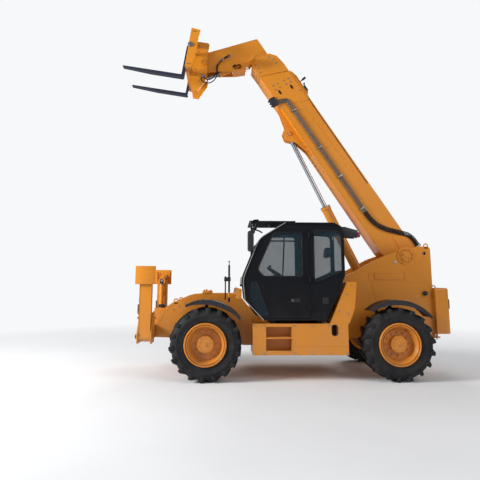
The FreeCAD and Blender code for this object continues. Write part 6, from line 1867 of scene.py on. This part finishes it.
class HANDLER_OT_mudguards(Operator):
    """Rolled edges, side lips, brackets and bolts of the four mudguards"""
    bl_idname = "handler.mudguards"
    bl_label = "Mudguards"

    def execute(self, context):
        for corner in CORNERS:
            side = -1 if corner.endswith("left") else 1
            front, rear = (62.0, 36.0) if corner.startswith("front") else (50.0, 38.0)
            middle = Vector((AXLE_X if corner.startswith("front") else REAR_X, 0, TYRE_RADIUS))
            low, high = math.radians(rear), math.radians(180 - front)
            steps = [low + (high - low) * k / GUARD_STEPS for k in range(GUARD_STEPS + 1)]
            routes = [[around(middle, GUARD_RADIUS, a / (2 * math.pi), side * y) for a in steps]
                      for y in (GUARD_OUTSIDE, GUARD_INSIDE)]
            tube_piece("Guard_edges_" + corner, routes, 0.0075, "plastic", "steering_" + corner, corners=4)
            arcs = []
            for depth in (0, GUARD_LIP):
                fade = [0.15 + 0.85 * math.sin(math.pi * k / GUARD_STEPS) ** 0.6
                        for k in range(GUARD_STEPS + 1)]
                arc = [around(middle, GUARD_RADIUS - depth * f, a / (2 * math.pi))
                       for f, a in zip(fade, steps)]
                arcs.append([((point.x - AXLE_X) * 1000, point.z * 1000) for point in arc])
            form = Form()
            form.strip(*arcs, side * GUARD_OUTSIDE * 1000, side * (GUARD_OUTSIDE - GUARD_THICK) * 1000)
            form.piece("Guard_skirts_" + corner, "plastic", "steering_" + corner, 40)
            foot, top = span("fender_" + corner)
            post = Vector((middle.x, side * (HALF_TRACK - 0.225), 0.0))
            form.block(post + UP * (foot.z + 0.17), (0.066, 0.02, 0.3), 0.003)
            form.block(post + UP * (top.z - 0.014) + Vector((0, side * 0.06, 0)), (0.066, 0.12, 0.008),
                       0.002)
            form.piece("Guard_brackets_" + corner, "paint", "steering_" + corner)
            rows = [(Vector((middle.x + x, side * y, middle.z + math.sqrt(0.708 ** 2 - x ** 2))), UP,
                     0.008) for x in (-0.022, 0.022) for y in (0.84, 0.93)]
            rows += [(post + UP * (foot.z + z) + Vector((0, side * 0.01, 0)), Vector((0, side, 0)), 0.008)
                     for z in (0.06, 0.28)]
            bolt_piece("Guard_bolts_" + corner, rows, body="steering_" + corner)
        return {"FINISHED"}


class HANDLER_OT_forks(Operator):
    """Lock pins and shaft rings of the two forks"""
    bl_idname = "handler.forks"
    bl_label = "Forks"

    def execute(self, context):
        for label in ("left", "right"):
            low, high = span("fork_" + label)
            y = (low.y + high.y) / 2 * 1000
            body = f"fork_{label}_body"
            form = Form()
            shaft = on_coupler(266, y, 118)
            for way in (-1, 1):
                form.ring(shaft + Vector((0, way * (high.y - low.y) * 0.5, 0)), (0, 1, 0), 0.05, 0.006,
                          steps=48, sides=8)
            form.rod(on_coupler(266, y, 166), on_coupler(266, y, 190), 0.014, sides=24, bevel=0.003)
            form.ring(on_coupler(266, y, 200), (0, 1, 0), 0.014, 0.004, steps=28, sides=8)
            form.piece("Fork_lock_" + label, "steel", body)
        return {"FINISHED"}


# What the camera sees behind the machine

SKY = (0.93, 0.94, 0.95, 1.0)
FLOOR_SIZE = 60.0
LAMPS = (
    # name, place, point it looks at, watts, size
    ("Key_lamp", (-12.0, -4.5, 6.0), (0.3, 0.0, 2.8), 1900.0, 4.0),
    ("Fill_lamp", (8.0, -9.0, 8.0), (0.5, 0.0, 2.0), 420.0, 6.0),
    ("Back_lamp", (3.0, 10.0, 9.0), (0.3, 0.0, 2.5), 520.0, 6.0),
)


class HANDLER_OT_stage(Operator):
    """Camera, floor and soft studio light"""
    bl_idname = "handler.stage"
    bl_label = "Studio"

    def execute(self, context):
        stage = context.scene.handler_stage
        data = bpy.data.cameras.new("Studio_camera")
        data.sensor_width = 36.0
        data.lens = stage.lens
        data.shift_y = stage.rise
        data.clip_end = 200.0
        camera = bpy.data.objects.new("Studio_camera", data)
        context.scene.collection.objects.link(camera)
        camera.matrix_world = (Matrix.Translation((AXLE_X + stage.behind, -stage.distance, stage.height))
                               @ Matrix.Rotation(-stage.yaw, 4,
                                                 "Z") @ Matrix.Rotation(math.pi / 2 + stage.pitch, 4, "X")
                               @ Matrix.Rotation(stage.roll, 4, "Z"))
        context.scene.camera = camera
        mesh = bmesh.new()
        bmesh.ops.create_grid(mesh, x_segments=1, y_segments=1, size=FLOOR_SIZE)
        floor_data = bpy.data.meshes.new("Studio_floor")
        mesh.to_mesh(floor_data)
        mesh.free()
        floor = bpy.data.objects.new("Studio_floor", floor_data)
        context.scene.collection.objects.link(floor)
        floor_data.materials.append(self.floor_material(tuple(stage.floor)))
        self.world(context)
        for name, place, aim, power, size in LAMPS:
            lamp = bpy.data.lights.new(name, "AREA")
            lamp.energy = power
            lamp.size = size
            thing = bpy.data.objects.new(name, lamp)
            thing.location = place
            thing.rotation_euler = (Vector(aim) - Vector(place)).to_track_quat("-Z", "Y").to_euler()
            context.scene.collection.objects.link(thing)
        context.scene.view_settings.view_transform = "Standard"
        return {"FINISHED"}

    def floor_material(self, colour):
        """Matt pale floor, with a faint mottle and a white far edge for the camera."""
        mat = Shader("Studio_floor", roughness=0.9)
        mat.shader.inputs["Specular IOR Level"].default_value = 0.1
        mat.colour(mat.mix(mat.grey(mat.noise(0.7, 3.0), 0.0, 1.0, 0.3, 0.7), colour, scaled(colour, 1.04)))
        mat.bump(mat.noise(40.0, 3.0), 0.02, 0.001)
        reach = mat.add("ShaderNodeVectorMath", operation="LENGTH")
        mat.join(mat.coords, reach, 0)
        far = mat.grey(reach.outputs["Value"], 0.0, 1.0, 4.5, 11.0)
        rays = mat.add("ShaderNodeLightPath")
        glow = mat.add("ShaderNodeEmission")
        glow.inputs["Color"].default_value = SKY
        blend = mat.add("ShaderNodeMixShader")
        mat.links.new(mat.multiply(far, rays.outputs["Is Camera Ray"]), blend.inputs[0])
        mat.links.new(mat.shader.outputs[0], blend.inputs[1])
        mat.links.new(glow.outputs[0], blend.inputs[2])
        mat.links.new(blend.outputs[0], mat.nodes["Material Output"].inputs["Surface"])
        return mat.material

    def world(self, context):
        """Pale grey room: plain for the camera, and a dimmer blue-grey for the light on the machine."""
        world = context.scene.world or bpy.data.worlds.new("Studio_world")
        context.scene.world = world
        world.use_nodes = True
        nodes = world.node_tree.nodes
        links = world.node_tree.links
        back = nodes["Background"]
        back.inputs["Color"].default_value = (0.8, 0.84, 0.9, 1.0)
        back.inputs["Strength"].default_value = 0.42
        seen = nodes.new("ShaderNodeBackground")
        seen.inputs["Color"].default_value = SKY
        seen.inputs["Strength"].default_value = 1.0
        rays = nodes.new("ShaderNodeLightPath")
        pick = nodes.new("ShaderNodeMath")
        pick.operation = "MAXIMUM"
        links.new(rays.outputs["Is Camera Ray"], pick.inputs[0])
        links.new(rays.outputs["Is Transmission Ray"], pick.inputs[1])
        mix = nodes.new("ShaderNodeMixShader")
        links.new(pick.outputs[0], mix.inputs[0])
        links.new(back.outputs[0], mix.inputs[1])
        links.new(seen.outputs[0], mix.inputs[2])
        links.new(mix.outputs[0], nodes["World Output"].inputs["Surface"])


class HANDLER_OT_finishes(Operator):
    """Makes the finishes and puts them on the frame's nodes"""
    bl_idname = "handler.finishes"
    bl_label = "Finishes"

    def execute(self, context):
        make_materials()
        finish_nodes()
        return {"FINISHED"}


class HANDLER_PT_sidebar(Panel):
    """Sizes, colours and the operators in order"""
    bl_idname = "HANDLER_PT_sidebar"
    bl_label = "Telescopic Handler"
    bl_space_type = "VIEW_3D"
    bl_region_type = "UI"
    bl_category = "Handler"

    def draw(self, context):
        column = self.layout.column()
        for group in (context.scene.handler_paint, context.scene.handler_stage):
            for name in group.bl_rna.properties.keys():
                if name not in ("rna_type", "name"):
                    column.prop(group, name)
        for operator in OPERATORS:
            column.operator(operator.bl_idname)


GROUPS = (("handler_paint", HandlerPaint), ("handler_stage", HandlerStage))
OPERATORS = (
    HANDLER_OT_finishes, HANDLER_OT_tyres, HANDLER_OT_wheels, HANDLER_OT_boom_pipes,
    HANDLER_OT_boom_fittings, HANDLER_OT_coupler, HANDLER_OT_cab_trim, HANDLER_OT_roof,
    HANDLER_OT_cab_inside, HANDLER_OT_side_plates, HANDLER_OT_front_end, HANDLER_OT_step_box,
    HANDLER_OT_engine_cover, HANDLER_OT_counterweight, HANDLER_OT_rams, HANDLER_OT_legs, HANDLER_OT_axles,
    HANDLER_OT_mudguards, HANDLER_OT_forks, HANDLER_OT_stage,
)


def register():
    for name, group in GROUPS:
        bpy.utils.register_class(group)
        setattr(bpy.types.Scene, name, PointerProperty(type=group))
    for operator in OPERATORS:
        bpy.utils.register_class(operator)
    bpy.utils.register_class(HANDLER_PT_sidebar)


def unregister():
    bpy.utils.unregister_class(HANDLER_PT_sidebar)
    for operator in reversed(OPERATORS):
        bpy.utils.unregister_class(operator)
    for name, group in reversed(GROUPS):
        delattr(bpy.types.Scene, name)
        bpy.utils.unregister_class(group)


def main():
    """Makes every piece in order."""
    register()
    for operator in OPERATORS:
        group, name = operator.bl_idname.split(".")
        getattr(getattr(bpy.ops, group), name)()


if __name__ == "__main__":
    main()
